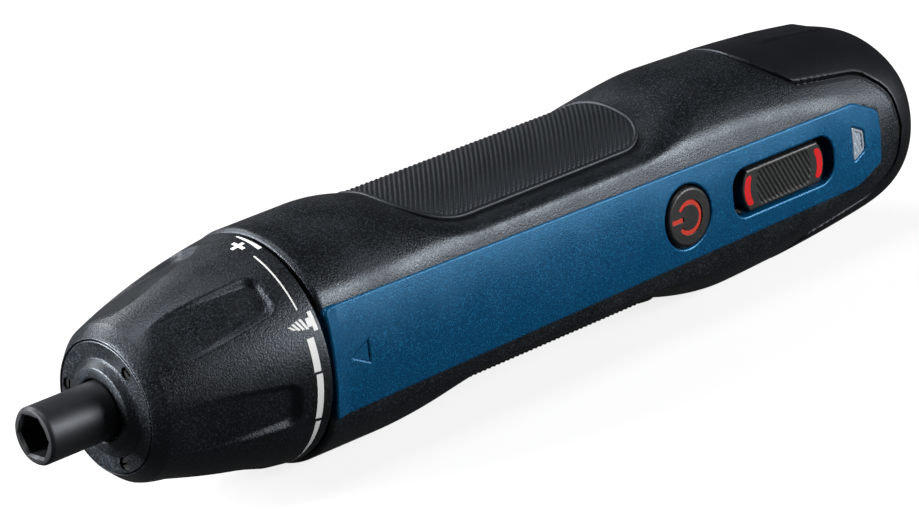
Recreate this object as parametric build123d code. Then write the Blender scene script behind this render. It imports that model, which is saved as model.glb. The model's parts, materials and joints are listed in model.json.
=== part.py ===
from build123d import *
import math
import os

# Cordless in-line screwdriver, in millimetres.
# X runs along the spindle axis, from the mouth of the bit socket (x = 0) to the tail.
# The control panel faces -Y and the upper grip faces +Z.

# General fits
running_fit = 0.05
slip_fit = 0.1
seam_gap = 0.2
# How far a cutter reaches past the part
far = 200.0

# Bit holder and spindle
bit_flats = 6.35
socket_clearance = 0.05
socket_depth = 14.0
holder_diameter = 9.7
holder_length = 24.2
holder_chamfer = 0.5
magnet_diameter = 5.0
magnet_length = 3.0
shaft_diameter = 6.0
tail_flats = 4.6
push_travel = 1.2
clip_thickness = 0.7
clip_diameter = 9.2
clip_groove_depth = 0.5
return_spring_wire = 0.8
return_spring_room = 1.1
return_spring_turns = 6

# Nose plate and the ring that carries it
holder_reach = 13.2
boss_height = 1.4
boss_top_diameter = 14.3
boss_base_diameter = 16.4
plate_thickness = 1.0
plate_ledge = 0.4
holder_window = 10.5
spigot_length = 1.0
nose_ring_diameter = 21.2
nose_ring_length = 4.0
nose_screw_inset = 1.1
nose_screw_floor = 0.6
nose_screw_slot = 0.4
nose_screw_count = 3
nose_screw_turn = 43.0
nose_screw_diameter = 1.5
nose_screw_head = 2.1
nose_screw_head_depth = 1.0
nose_screw_grip = 3.6
spigot_diameter = nose_ring_diameter + 2 * slip_fit
plate_diameter = spigot_diameter + 2 * plate_ledge
nose_screw_circle = nose_ring_diameter - 2 * nose_screw_inset

# Torque collar, with wedge-shaped finger flutes
collar_length = 30.7
collar_rim_width = 0.4
collar_shoulder_rise = 1.75
collar_shoulder_x = 2.1
collar_belly_diameter = 34.2
collar_belly_x = 15.4
collar_rear_diameter = 39.8
collar_lip_length = 1.2
nose_ring_room = 1.0
collar_mid_bore = 30.4
collar_skirt_bore_length = 4.0
flute_count = 6
flute_turn = 42.5
flute_start = 2.2
flute_end = 24.7
flute_front_width = 10.4
flute_rear_width = 7.0
flute_front_depth = 0.3
flute_middle_depth = 1.45
flute_rear_depth = 2.35
flute_corner = 1.6
collar_rim_diameter = plate_diameter + 2 * collar_rim_width
collar_shoulder_diameter = collar_rim_diameter + 2 * collar_shoulder_rise
collar_bore = nose_ring_diameter + 2 * nose_ring_room
flute_front_floor = collar_shoulder_diameter / 2 - flute_front_depth
flute_middle_floor = collar_belly_diameter / 2 - flute_middle_depth
flute_rear_floor = collar_rear_diameter / 2 - flute_rear_depth

# Slip clutch under the collar
sleeve_step = 2.1
sleeve_shoulder = 0.85
nut_thickness = 4.0
nut_travel_forward = 2.2
nut_travel_rearward = 1.8
nut_run_out = 2.1
spring_wire = 1.5
spring_room = 0.75
spring_turns = 6
washer_thickness = 1.5
washer_diameter = 29.2
ball_diameter = 3.9
ball_circle = 25.2
ball_count = 6
ball_dimple = 0.6
sleeve_diameter = nose_ring_diameter - 2 * sleeve_step
nose_ring_bore = sleeve_diameter - 2 * sleeve_shoulder
spring_mean_diameter = collar_bore - 2 * spring_room - spring_wire

# Gear case and two-stage planetary train
skirt_diameter = 34.9
skirt_wall = 1.5
skirt_length = 5.0
case_front_wall = 3.0
case_setback = 0.6
case_diameter = 30.0
case_bore = 27.9
flange_diameter = 36.2
flange_length = 4.0
bush_diameter = 12.4
front_bush_length = 6.2
rear_bush_length = 5.5
thrust_wall = 1.5
thrust_ring_length = 2.0
hub_diameter = 10.0
hub_length = 2.6
gear_module = 0.5
sun_teeth = 15
planet_teeth = 15
planet_count = 3
gear_width = 6.0
ring_diameter = 27.8
tooth_thickness = 0.56
tooth_addendum = 0.4
tooth_dedendum = 0.6
gear_flank_angle = 25.0
ring_flank_angle = 20.0
carrier_diameter = 19.2
carrier_thickness = 2.2
planet_pin_diameter = 2.4
gear_side_gap = 0.4
pinion_room = 0.5
motor_plate_thickness = 3.7
thrust_bore = sleeve_diameter - 2 * thrust_wall

# Start sensor in the sleeve's wall
sensor_size = 3.0
sensor_thickness = 1.2

# Motor
motor_diameter = 24.4
motor_length = 31.0
motor_wall = 0.8
motor_face = 1.2
motor_shaft_diameter = 2.0
magnet_arc = 150.0
motor_magnet_wall = 1.75
motor_magnet_length = 22.0
armature_diameter = 18.0
armature_length = 20.0
armature_slot_count = 3
armature_slot_width = 2.0
armature_slot_depth = 3.0
commutator_diameter = 5.2
commutator_length = 4.0
end_cap_length = 2.6
motor_screw_diameter = 2.4
motor_screw_head = 4.4
motor_screw_head_depth = 1.6
motor_screw_spacing = 16.0
motor_screw_sink = 2.0
motor_screw_grip = 0.6

# Housing, turned about the axis and flattened under the panel
collar_gap = 0.7
body_length = 148.0
body_front_diameter = 40.6
bulge_diameter = 41.6
bulge_x = 95.5
hip_diameter = 39.2
hip_x = 124.0
tail_diameter = 34.5
tail_rounding = 6.0
panel_crest = 18.2
panel_radius = 46.0
panel_ramp = 3.6
panel_rim = 0.6
cavity_diameter = 30.4
cavity_tail_diameter = 26.4
tail_cone_length = 14.0
end_wall = 1.9
rest_depth = 20.05
rib_thickness = 2.0
motor_front_rib = 8.0
motor_rear_rib = 6.0
cell_front_rib = 5.0
cell_rear_rib = 7.0
rib_root = 0.2
board_rib_gap = 0.7

# Saddles that hold the grip pads
saddle_depth = 12.6
saddle_front_run = 13.0
saddle_rear_run = 9.0
saddle_lift = 0.5
saddle_front_lip = 0.3
saddle_rear_lip = 0.9
saddle_run_out = 0.1
saddle_front = 17.0
saddle_rear = 91.5
pad_front = 26.0
pad_rear = 82.6
pad_width = 25.8
pad_front_rounding = 11.5
pad_rear_rounding = 7.0
pad_crest = 18.55
pad_thickness = 1.45

# Tail cover
cover_thickness = 2.0
cover_tongue = 36.8
cover_tongue_half_width = 17.6
cover_side_step = 32.5
cover_side_height = 13.9
cover_corner_height = 11.9
cover_corner_x = 15.5
cover_end_height = 5.5
cover_end_x = 9.4
cover_seam_rounding = 3.0

# Control panel
panel_thickness = 2.6
panel_front_half_width = 9.6
panel_rear_half_width = 8.0
panel_shoulder_x = 128.4
panel_length = 134.7
panel_end_half_width = 5.0
panel_corner = 1.0
panel_window_half_width = 6.5
panel_window_margin = 5.0
index_x = 6.6
index_side = 2.6
index_depth = 0.2

# Power button
button_x = 83.6
button_diameter = 10.7
button_recess_diameter = 11.5
button_flange_diameter = 12.8
button_flange_thickness = 1.0
button_proud = 0.3
button_travel = 0.8
symbol_diameter = 6.8
symbol_stroke = 0.9
symbol_gap_angle = 72.0
symbol_bar = 3.0
symbol_bar_rise = 1.1
symbol_depth = 0.4

# Direction slider
slot_x = 108.4
slider_length = 21.7
slider_width = 7.8
slider_end_bow = 1.6
slider_travel = 2.0
slider_end_gap = 0.85
slider_side_gap = 0.95
slider_flange_lap = 1.35
slider_flange_thickness = 1.0
mark_width = 1.7
mark_inset = 0.4
mark_margin = 0.6
mark_depth = 0.3
rib_count = 12
rib_length = 5.5
rib_pitch = 1.1
rib_depth = 0.25
rib_angle = 62.0
slot_length = slider_length + 2 * (slider_travel + slider_end_gap)
slot_width = slider_width + 2 * slider_side_gap
slider_flange_length = slot_length + 2 * (slider_travel + slip_fit)
slider_flange_width = slot_width + 2 * slider_flange_lap

# Status window
window_x = 126.9
window_width = 3.0
window_height = 6.2
window_short_height = 3.3
window_rise = 0.4

# Circuit board and what it carries
board_front = 12.2
board_thickness = 1.6
board_width = 17.2
board_start = 67.4
board_length = 62.0
board_tongue_length = 13.4
board_tongue_width = 10.6
button_switch_size = 6.0
button_switch_height = 0.7
button_plunger_diameter = 2.4
button_plunger_height = 0.2
slide_switch_length = 9.0
slide_switch_width = 4.0
slide_switch_height = 0.8
slider_peg_diameter = 2.0
led_size = 2.0
led_height = 1.0
usb_length = 9.0
usb_width = 9.0
usb_height = 3.0
usb_wall = 0.4
usb_back_wall = 2.0
port_width = 11.0
port_height = 6.4
port_setback = 3.4
port_overlap = 0.5

# Cell and its tabs
cell_diameter = 18.4
cell_length = 65.0
cell_x = 67.9
cell_nub_diameter = 6.0
cell_nub_height = 1.0
tab_thickness = 0.3
tab_width = 7.0
tab_reach = 3.0

# Housing screws
screw_diameter = 2.5
screw_head_diameter = 4.6
screw_head_height = 2.0
screw_slot_length = 2.8
screw_slot_width = 0.6
screw_slot_depth = 0.8
screw_seat = 9.5
screw_bite = 6.0
boss_diameter = 6.2
boss_root = 0.5
front_screw_x = 63.9
front_screw_spread = 9.5
rear_screw_x = 138.4
rear_screw_y = 2.0

# Places along the axis, each from the piece in front of it
plate_front_x = holder_reach + boss_height
plate_back_x = plate_front_x + plate_thickness
nose_ring_x = plate_back_x + spigot_length
sleeve_step_x = nose_ring_x + nose_ring_length
collar_rear_x = plate_front_x + collar_length
body_front_x = collar_rear_x + collar_gap
body_rear_x = body_front_x + body_length
wall_front_x = body_front_x + case_setback
wall_rear_x = wall_front_x + case_front_wall
second_ring_x = wall_rear_x + seam_gap
second_carrier_x = wall_rear_x + gear_side_gap
second_gear_x = second_carrier_x + carrier_thickness + gear_side_gap
first_carrier_x = second_gear_x + gear_width + 2 * gear_side_gap
first_gear_x = first_carrier_x + carrier_thickness + gear_side_gap
motor_plate_x = first_gear_x + gear_width + 2 * gear_side_gap
motor_x = motor_plate_x + motor_plate_thickness
end_cap_x = motor_x + motor_length
thrust_x = wall_front_x - thrust_ring_length - push_travel - seam_gap
clip_x = thrust_x - clip_thickness - seam_gap
rear_bush_x = clip_x - rear_bush_length - seam_gap
washer_x = wall_rear_x + ball_dimple - ball_diameter - washer_thickness
nut_x = sleeve_step_x + nut_travel_forward + seam_gap
cell_start_x = body_front_x + cell_x
cell_end_x = cell_start_x + cell_length
board_x = body_front_x + board_start
cavity_end_x = body_rear_x - cover_thickness - slip_fit - end_wall
port_x = body_rear_x - port_setback
panel_back = panel_crest - panel_thickness
board_back = board_front - board_thickness


# Shared shapes

def turned(*points):
    """A solid of revolution about the spindle axis, from its (x, radius) corners."""
    return revolve(make_face(Polyline(*points, close=True)), Axis.X)


def bar(x_front, x_rear, diameter, bore=0.0):
    """A round bar on the spindle axis, or a tube where it has a bore."""
    outer = diameter / 2
    inner = bore / 2
    return turned((x_front, inner), (x_rear, inner), (x_rear, outer), (x_front, outer))


def block(x, y, z):
    """A box from its (low, high) limits on each axis."""
    size = [high - low for low, high in (x, y, z)]
    middle = [(high + low) / 2 for low, high in (x, y, z)]
    return Pos(*middle) * Box(*size)


def across(sketch, x_front, x_rear):
    """A prism along the axis from a sketch drawn as (y, z)."""
    return extrude(Plane.YZ.offset(x_front) * sketch, x_rear - x_front, dir=(1, 0, 0))


def from_panel(sketch, depth_front, depth_back):
    """A prism square to the panel from a sketch drawn as (x, z), between two depths on -Y."""
    return extrude(Plane.XZ.offset(depth_back) * sketch, depth_front - depth_back, dir=(0, -1, 0))


def from_side(sketch, reach):
    """A prism from a side view drawn as (x, z), reaching as far on both sides."""
    return extrude(Plane.XZ * sketch, reach, both=True)


def outline(points, rounding=0.0, rounded=()):
    """A closed polygon, with the corners at the given points rounded."""
    face = make_face(Polyline(*points, close=True))
    corners = [v for v in face.vertices() if any(abs(v.X - x) + abs(v.Y - y) < 0.01 for x, y in rounded)]
    return fillet(corners, rounding) if corners else face


def hexagon(flats):
    """A regular hexagon by its width across flats, one corner on the Y axis."""
    return RegularPolygon(flats / math.sqrt(3), 6)


def coil(x_front, x_rear, mean_diameter, wire, turns):
    """A round-wire compression spring on the axis, its end turns inside the two seats."""
    pitch = (x_rear - x_front - wire) / turns
    path = Helix(pitch, pitch * turns, mean_diameter / 2)
    start = Plane(path @ 0, z_dir=path % 0)
    spring = sweep(start * Circle(wire / 2), path)
    return Pos(x_front + wire / 2, 0, 0) * Rot(0, 90, 0) * spring


# Housing

def body_of_revolution(inset=0.0):
    """The housing's round outside, drawn in by an inset, before the panel's flat is cut."""
    front = (body_front_x, body_front_diameter / 2 - inset)
    bulge = (body_front_x + bulge_x, bulge_diameter / 2 - inset)
    hip = (body_front_x + hip_x, hip_diameter / 2 - inset)
    tail = (body_rear_x - inset, tail_diameter / 2 - inset)
    axis_rear = (body_rear_x - inset, 0)
    axis_front = (body_front_x, 0)
    edges = [
        Line(axis_front, front),
        Line(front, bulge),
        ThreePointArc(bulge, hip, tail),
        Line(tail, axis_rear),
        Line(axis_rear, axis_front),
    ]
    face = make_face(Wire(edges))
    corner = face.vertices().sort_by(lambda v: v.X + v.Y)[-1]
    return revolve(fillet(corner, tail_rounding - inset), Axis.X)


def panel_face(inset=0.0):
    """The drum whose gently bowed side is the panel's face, with the ramp behind the collar."""
    radius = panel_radius - inset
    ramp_radius = radius + body_front_diameter / 2 - panel_crest
    drum = turned((body_front_x - 1, 0), (body_front_x - 1, ramp_radius),
                  (body_front_x + panel_rim, ramp_radius), (body_front_x + panel_ramp, radius),
                  (body_rear_x + 1, radius), (body_rear_x + 1, 0))
    return Pos(0, panel_radius - panel_crest, 0) * drum


def body_skin(inset=0.0):
    """The outside of the whole body: round, with the panel's bowed face."""
    return body_of_revolution(inset) & panel_face(inset)


def saddle():
    """The upper saddle, cut straight across: what lies above its curve in the side view."""
    x0 = body_front_x
    top = bulge_diameter
    curve = Spline(
        (x0 + saddle_front, body_front_diameter / 2 + saddle_run_out),
        (x0 + pad_front, pad_crest - saddle_front_lip),
        (x0 + pad_front + saddle_front_run, saddle_depth + saddle_lift),
        (x0 + (pad_front + pad_rear) / 2, saddle_depth),
        (x0 + pad_rear - saddle_rear_run, saddle_depth + saddle_lift),
        (x0 + pad_rear + saddle_lift, pad_crest - saddle_rear_lip),
        (x0 + saddle_rear, bulge_diameter / 2 + saddle_run_out),
    )
    sides = [
        Line(curve @ 1, (x0 + saddle_rear, top)),
        Line((x0 + saddle_rear, top), (x0 + saddle_front, top)),
        Line((x0 + saddle_front, top), curve @ 0),
    ]
    return from_side(make_face(Wire([curve] + sides)), far)


def pad_prism(grow=0.0):
    """The grip pad's outline seen from above, as an upright prism over the axis."""
    front = body_front_x + pad_front - grow
    rear = body_front_x + pad_rear + grow
    half = pad_width / 2 + grow
    face = make_face(Polyline((front, -half), (rear, -half), (rear, half), (front, half), close=True))
    face = fillet(face.vertices().sort_by(Axis.X)[:2], pad_front_rounding + grow)
    face = fillet(face.vertices().sort_by(Axis.X)[-2:], pad_rear_rounding + grow)
    return extrude(face, bulge_diameter, dir=(0, 0, 1))


def grip_pad():
    """The upper grip pad: a bent rubber slab on the saddle's ridge."""
    floor = pad_crest - pad_thickness
    return pad_prism() & bar(body_front_x, body_rear_x, 2 * pad_crest, 2 * floor)


def tail_region(grow=0.0):
    """The side view of the tail cover, from its tongue to behind the tail."""
    end = body_rear_x
    upper = [
        (end - cover_tongue, far),
        (end - cover_tongue, cover_tongue_half_width),
        (end - cover_side_step, cover_side_height),
        (end - cover_corner_x, cover_corner_height),
        (end - cover_end_x, cover_end_height),
    ]
    lower = [(x, -z) for x, z in reversed(upper)]
    face = outline(upper + lower + [(end + far, -far), (end + far, far)],
                   cover_seam_rounding, upper[1:] + lower[:-1])
    if grow:
        face = offset(face, grow)
    return from_side(face, far)


def tail_cover():
    """The soft cap over the tail, with the charging port's recess through it."""
    cap = (body_skin() & tail_region()) - body_skin(cover_thickness)
    return cap - port_recess() - below_rest()


def below_rest():
    """What the flats on the underside take off, so that the tool lies still."""
    return block((body_front_x - 1, body_rear_x + 1), (-far, far), (-far, -rest_depth))


def port_recess():
    """The well that a charging plug enters, square in the tail's end."""
    middle = -(board_back - usb_height / 2)
    return block((cavity_end_x - port_overlap, body_rear_x + far),
                 (middle - port_height / 2, middle + port_height / 2),
                 (-port_width / 2, port_width / 2))


def cavity():
    """The hollow inside the housing, from the gear case's seat to the tail's wall."""
    cone_x = cavity_end_x - tail_cone_length
    seat = flange_diameter / 2 + slip_fit
    seat_end = body_front_x + flange_length + slip_fit
    return turned((body_front_x - 1, 0), (body_front_x - 1, seat), (seat_end, seat),
                  (seat_end, cavity_diameter / 2), (cone_x, cavity_diameter / 2),
                  (cavity_end_x, cavity_tail_diameter / 2), (cavity_end_x, 0))


def housing_ribs():
    """Ring ribs that carry the motor and the cell."""
    ribs = []
    for x in (motor_x + motor_front_rib, end_cap_x - motor_rear_rib):
        ribs.append((x, motor_diameter + 2 * slip_fit))
    for x in (cell_start_x + cell_front_rib, cell_end_x - cell_rear_rib):
        ribs.append((x, cell_diameter + 2 * slip_fit))
    rings = [bar(x, x + rib_thickness, cavity_diameter + 2 * rib_root, bore) for x, bore in ribs]
    clear = block((body_front_x, body_rear_x), (-far, -board_back + board_rib_gap), (-far, far))
    return [ring - clear for ring in rings]


def screw_places():
    """The housing screws' places, as (x, y)."""
    front = body_front_x + front_screw_x
    return [(front, -front_screw_spread), (front, front_screw_spread),
            (body_front_x + rear_screw_x, rear_screw_y)]


def panel_outline(grow=0.0):
    """The control panel seen square on, as an (x, z) sketch."""
    front = body_front_x - (panel_corner if grow else 0.0)
    shoulder = body_front_x + panel_shoulder_x
    rear = body_front_x + panel_length + grow
    upper = [(front, panel_front_half_width + grow), (shoulder, panel_rear_half_width + grow),
             (rear, panel_end_half_width + grow)]
    lower = [(x, -z) for x, z in reversed(upper)]
    return outline(upper + lower, panel_corner, upper[1:] + lower[:-1])


def housing_whole():
    """Both housing shells as one closed skin, before they are parted along the middle."""
    skin = body_skin()
    ridge = bar(body_front_x, body_rear_x, 2 * (pad_crest - pad_thickness))
    ring = bar(body_front_x, body_rear_x, 2 * bulge_diameter, 2 * (pad_crest - pad_thickness) - 2 * slip_fit)
    for turn in (0, 180):
        skin -= Rot(turn, 0, 0) * saddle()
        skin += Rot(turn, 0, 0) * (pad_prism() & ridge)
        skin -= Rot(turn, 0, 0) * (pad_prism(slip_fit) & ring)
    skin -= tail_region(seam_gap) - body_skin(cover_thickness + slip_fit)
    skin -= cavity()
    window = Rectangle(panel_length - 2 * panel_window_margin, 2 * panel_window_half_width)
    window = Pos(body_front_x + (panel_length + flange_length) / 2, 0) * window
    skin -= from_panel(panel_outline(slip_fit), far, panel_back - slip_fit / 2)
    skin -= from_panel(window, far, board_front)
    skin -= port_recess()
    skin -= below_rest()
    for rib in housing_ribs():
        skin += rib
    return skin


def housing_shell(whole, top):
    """One half of the housing, with its screw bosses and the screws' holes."""
    room = bar(body_front_x, cavity_end_x, cavity_diameter + 2 * boss_root)
    half = block((body_front_x - 1, body_rear_x), (-far, far), (0, far) if top else (-far, 0))
    shell = whole & half
    for x, y in screw_places():
        shell += Pos(x, y, 0) * Cylinder(boss_diameter / 2, far) & room & half
        shell -= Pos(x, y, 0) * Cylinder(screw_diameter / 2, 2 * screw_bite + 2 * screw_seat)
        shell -= Pos(x, y, -screw_seat) * Cylinder(screw_head_diameter / 2 + slip_fit, far,
                                                   align=(Align.CENTER, Align.CENTER, Align.MAX))
    return shell


def housing_screws():
    """The screws that clamp the two shells, heads up inside the lower one."""
    group = []
    for x, y in screw_places():
        shank = Cylinder(screw_diameter / 2, screw_seat + screw_bite,
                         align=(Align.CENTER, Align.CENTER, Align.MIN))
        head = Cylinder(screw_head_diameter / 2, screw_head_height,
                        align=(Align.CENTER, Align.CENTER, Align.MAX))
        slot = Box(screw_slot_length, screw_slot_width, 2 * screw_slot_depth)
        recess = Pos(0, 0, -screw_head_height) * slot
        group.append(Pos(x, y, -screw_seat) * (shank + head - recess))
    return group


# Panel and controls

def on_panel(x):
    """The place of a control on the panel's middle line."""
    return Pos(body_front_x + x, 0)


def slot_sketch():
    return on_panel(slot_x) * SlotOverall(slot_length, slot_width)


def window_sketch():
    """The status window: a trapezoid whose longer side faces the nose."""
    x = body_front_x + window_x
    half = window_height / 2
    short = window_short_height / 2
    return make_face(Polyline((x, window_rise - half), (x + window_width, window_rise - short),
                              (x + window_width, window_rise + short), (x, window_rise + half), close=True))


def control_panel():
    """The long flat cover plate, with openings for the controls and an engraved index."""
    plate = body_skin() & from_panel(panel_outline(), far, panel_back)
    plate -= from_panel(on_panel(button_x) * Circle(button_recess_diameter / 2), far, 0)
    plate -= from_panel(slot_sketch(), far, 0)
    plate -= from_panel(window_sketch(), far, 0)
    index = Rot(0, 0, 180) * Triangle(a=index_side, b=index_side, c=index_side)
    return plate - from_panel(on_panel(index_x) * index, far, panel_crest - index_depth)


def power_symbol_sketch():
    """A broken ring and a bar, the generic standby sign, read from the nose."""
    outer = symbol_diameter / 2
    ring = Circle(outer) - Circle(outer - symbol_stroke)
    reach = symbol_diameter
    half = math.radians(symbol_gap_angle / 2)
    gap = make_face(Polyline((0, 0), (reach * math.sin(half), reach * math.cos(half)),
                             (-reach * math.sin(half), reach * math.cos(half)), close=True))
    stroke = Pos(0, outer - symbol_bar / 2 + symbol_bar_rise) * Rectangle(symbol_stroke, symbol_bar)
    return on_panel(button_x) * Rot(0, 0, 90) * (ring - gap + stroke)


def power_button():
    """The round push button: a cap, a flange behind the panel and a stem to its switch."""
    face = panel_crest + button_proud
    flange_front = panel_back - slip_fit
    stem_end = board_front + button_switch_height + button_plunger_height + button_travel + running_fit
    cap = from_panel(on_panel(button_x) * Circle(button_diameter / 2), face,
                     flange_front - button_flange_thickness / 2)
    flange = from_panel(on_panel(button_x) * Circle(button_flange_diameter / 2),
                        flange_front, flange_front - button_flange_thickness)
    stem = from_panel(on_panel(button_x) * Circle(button_plunger_diameter / 2), face - 1, stem_end)
    return cap + flange + stem - from_panel(power_symbol_sketch(), far, face - symbol_depth)


def power_symbol():
    """The red light guide let into the button's face, a ring and a bar."""
    face = panel_crest + button_proud
    return list(from_panel(power_symbol_sketch(), face, face - symbol_depth).solids())


def slider_sketch():
    """The slider's face about its own middle: straight sides and bowed ends."""
    half_length = slider_length / 2
    half_width = slider_width / 2
    corner = half_length - slider_end_bow
    edges = [
        Line((-corner, half_width), (corner, half_width)),
        ThreePointArc((corner, half_width), (half_length, 0), (corner, -half_width)),
        Line((corner, -half_width), (-corner, -half_width)),
        ThreePointArc((-corner, -half_width), (-half_length, 0), (-corner, half_width)),
    ]
    return make_face(Wire(edges))


def slider_marks_sketch():
    """The two coloured arcs that follow the slider's bowed ends."""
    face = slider_sketch()
    end = Pos(-mark_inset, 0) * face - Pos(-mark_inset - mark_width, 0) * face
    end &= Rectangle(slider_length, slider_width - 2 * mark_margin)
    return on_panel(slot_x) * (end + Rot(0, 0, 180) * end)


def slider_ribs():
    """The slanted grooves across the slider's thumb face."""
    groove = Rectangle(rib_pitch / 2, rib_length)
    row = [Pos((i - (rib_count - 1) / 2) * rib_pitch, 0) * Rot(0, 0, 90 - rib_angle) * groove
           for i in range(rib_count)]
    return [on_panel(slot_x) * g for g in row]


def direction_slider():
    """The reversing slider: a ribbed cap, a flange behind the panel and a peg to its switch."""
    flange_front = panel_back - slip_fit
    flange_back = flange_front - slider_flange_thickness
    peg_end = board_front + slide_switch_height + slip_fit
    cap = from_panel(on_panel(slot_x) * slider_sketch(), panel_crest,
                     flange_front - slider_flange_thickness / 2)
    flange = from_panel(on_panel(slot_x) * Rectangle(slider_flange_length, slider_flange_width),
                        flange_front, flange_back)
    peg = from_panel(on_panel(slot_x) * Circle(slider_peg_diameter / 2), flange_front, peg_end)
    slider = cap + flange + peg
    for groove in slider_ribs():
        slider -= from_panel(groove, far, panel_crest - rib_depth)
    return slider - from_panel(slider_marks_sketch(), far, panel_crest - mark_depth)


def slider_marks():
    """The red inlays in the slider's two ends."""
    return list(from_panel(slider_marks_sketch(), panel_crest, panel_crest - mark_depth).solids())


def status_window():
    """The clear lens over the charge light."""
    return body_skin() & from_panel(window_sketch(), far, panel_back)


# Nose, collar and clutch

def nose_screw_places():
    return [Rot(nose_screw_turn + 360 * i / nose_screw_count, 0, 0) * Pos(0, 0, nose_screw_circle / 2)
            for i in range(nose_screw_count)]


def along(diameter, x_front, x_rear):
    """A round bar along X from one place to another, to be set off the axis."""
    return bar(x_front, x_rear, diameter)


def nose_plate():
    """The fixed plate at the nose: a stepped boss round the bit holder, three screws through it."""
    bore = holder_window / 2
    plate = turned((holder_reach, bore), (holder_reach, boss_top_diameter / 2),
                   (plate_front_x, boss_base_diameter / 2), (plate_front_x, plate_diameter / 2),
                   (plate_back_x, plate_diameter / 2), (plate_back_x, spigot_diameter / 2),
                   (nose_ring_x, spigot_diameter / 2), (nose_ring_x, bore))
    seat = nose_ring_x - nose_screw_floor
    for place in nose_screw_places():
        plate -= place * along(nose_screw_head + slip_fit, plate_front_x - 1, seat)
        plate -= place * along(nose_screw_diameter, seat - 1, nose_ring_x + 1)
    return plate


def nose_screws():
    """The nose plate's screws, sunk in their wells."""
    seat = nose_ring_x - nose_screw_floor
    group = []
    for place in nose_screw_places():
        screw = along(nose_screw_head, seat - nose_screw_head_depth, seat)
        screw += along(nose_screw_diameter, seat - slip_fit, nose_ring_x + nose_screw_grip)
        slot = block((seat - nose_screw_head_depth - 1, seat - nose_screw_head_depth / 2), (-far, far),
                     (-nose_screw_slot / 2, nose_screw_slot / 2))
        group.append(place * (screw - slot))
    return group


def nose_ring():
    """The threaded ring on the sleeve's end that takes the nose screws and traps the clutch."""
    ring = bar(nose_ring_x, sleeve_step_x, nose_ring_diameter, nose_ring_bore + 2 * running_fit)
    for place in nose_screw_places():
        ring -= place * along(nose_screw_diameter, nose_ring_x - 1, nose_ring_x + nose_screw_grip)
    return ring


def collar_blank():
    """The collar's outside and its stepped bore, before the flutes are cut."""
    front = plate_front_x
    shoulder = (front + collar_shoulder_x, collar_shoulder_diameter / 2)
    belly = (front + collar_belly_x, collar_belly_diameter / 2)
    rear = (collar_rear_x, collar_rear_diameter / 2)
    rim = (front, collar_rim_diameter / 2)
    opening = plate_diameter / 2 + slip_fit
    lip_bore = spigot_diameter / 2 + running_fit
    lip_x = plate_back_x + slip_fit
    lip_end = lip_x + collar_lip_length
    mid_x = nut_x + nut_thickness + nut_travel_rearward + nut_run_out
    skirt_x = collar_rear_x - collar_skirt_bore_length
    skirt_bore = skirt_diameter / 2 + running_fit
    inside = Polyline(rear, (collar_rear_x, skirt_bore), (skirt_x, skirt_bore),
                      (skirt_x, collar_mid_bore / 2), (mid_x, collar_mid_bore / 2),
                      (mid_x, collar_bore / 2), (lip_end, collar_bore / 2), (lip_end, lip_bore),
                      (lip_x, lip_bore), (lip_x, opening), (front, opening), rim)
    nose_round = Spline(rim, shoulder, tangents=((0.25, 1), (1, 0.42)))
    flank = Spline(shoulder, belly, rear, tangents=((1, 0.42), (1, 0.07)))
    return revolve(make_face(Wire([nose_round, flank] + list(inside.edges()))), Axis.X)


def flute():
    """One finger flute's cutter: a wedge, wide at the nose, with a sloping flat floor."""
    start = plate_front_x + flute_start
    end = plate_front_x + flute_end
    plan = outline([(start, -flute_front_width / 2), (end, -flute_rear_width / 2),
                    (end, flute_rear_width / 2), (start, flute_front_width / 2)],
                   flute_corner, [(end, -flute_rear_width / 2), (end, flute_rear_width / 2)])
    middle = ((start + end) / 2, flute_middle_floor)
    floor = ThreePointArc((start, flute_front_floor), middle, (end, flute_rear_floor))
    walls = Polyline((end, flute_rear_floor), (end, far), (start, far), (start, flute_front_floor))
    side = make_face(Wire([floor] + list(walls.edges())))
    return extrude(plan, far, dir=(0, 0, 1)) & from_side(side, flute_front_width)


def torque_collar():
    """The torque setting collar, with its flutes."""
    collar = collar_blank()
    cutter = flute()
    for i in range(flute_count):
        collar -= Rot(flute_turn + 360 * i / flute_count, 0, 0) * cutter
    return collar


def clutch_nut():
    """The spring's sliding seat, which the collar's thread moves along the sleeve."""
    return bar(nut_x, nut_x + nut_thickness, collar_bore - 2 * slip_fit, sleeve_diameter + 2 * slip_fit)


def clutch_spring():
    """The spring that loads the clutch balls."""
    front = nut_x + nut_thickness + slip_fit
    return coil(front, washer_x - slip_fit, spring_mean_diameter, spring_wire, spring_turns)


def clutch_washer():
    """The pressure ring between the spring and the balls."""
    return bar(washer_x, washer_x + washer_thickness, washer_diameter, sleeve_diameter + 2 * slip_fit)


def ball_places():
    middle = Pos(washer_x + washer_thickness + ball_diameter / 2, 0, ball_circle / 2)
    return [Rot(360 * i / ball_count, 0, 0) * middle for i in range(ball_count)]


def clutch_balls():
    """The balls that hold the second ring gear until the set torque is reached."""
    return [place * Sphere(ball_diameter / 2) for place in ball_places()]


# Gear case and gears

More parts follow.
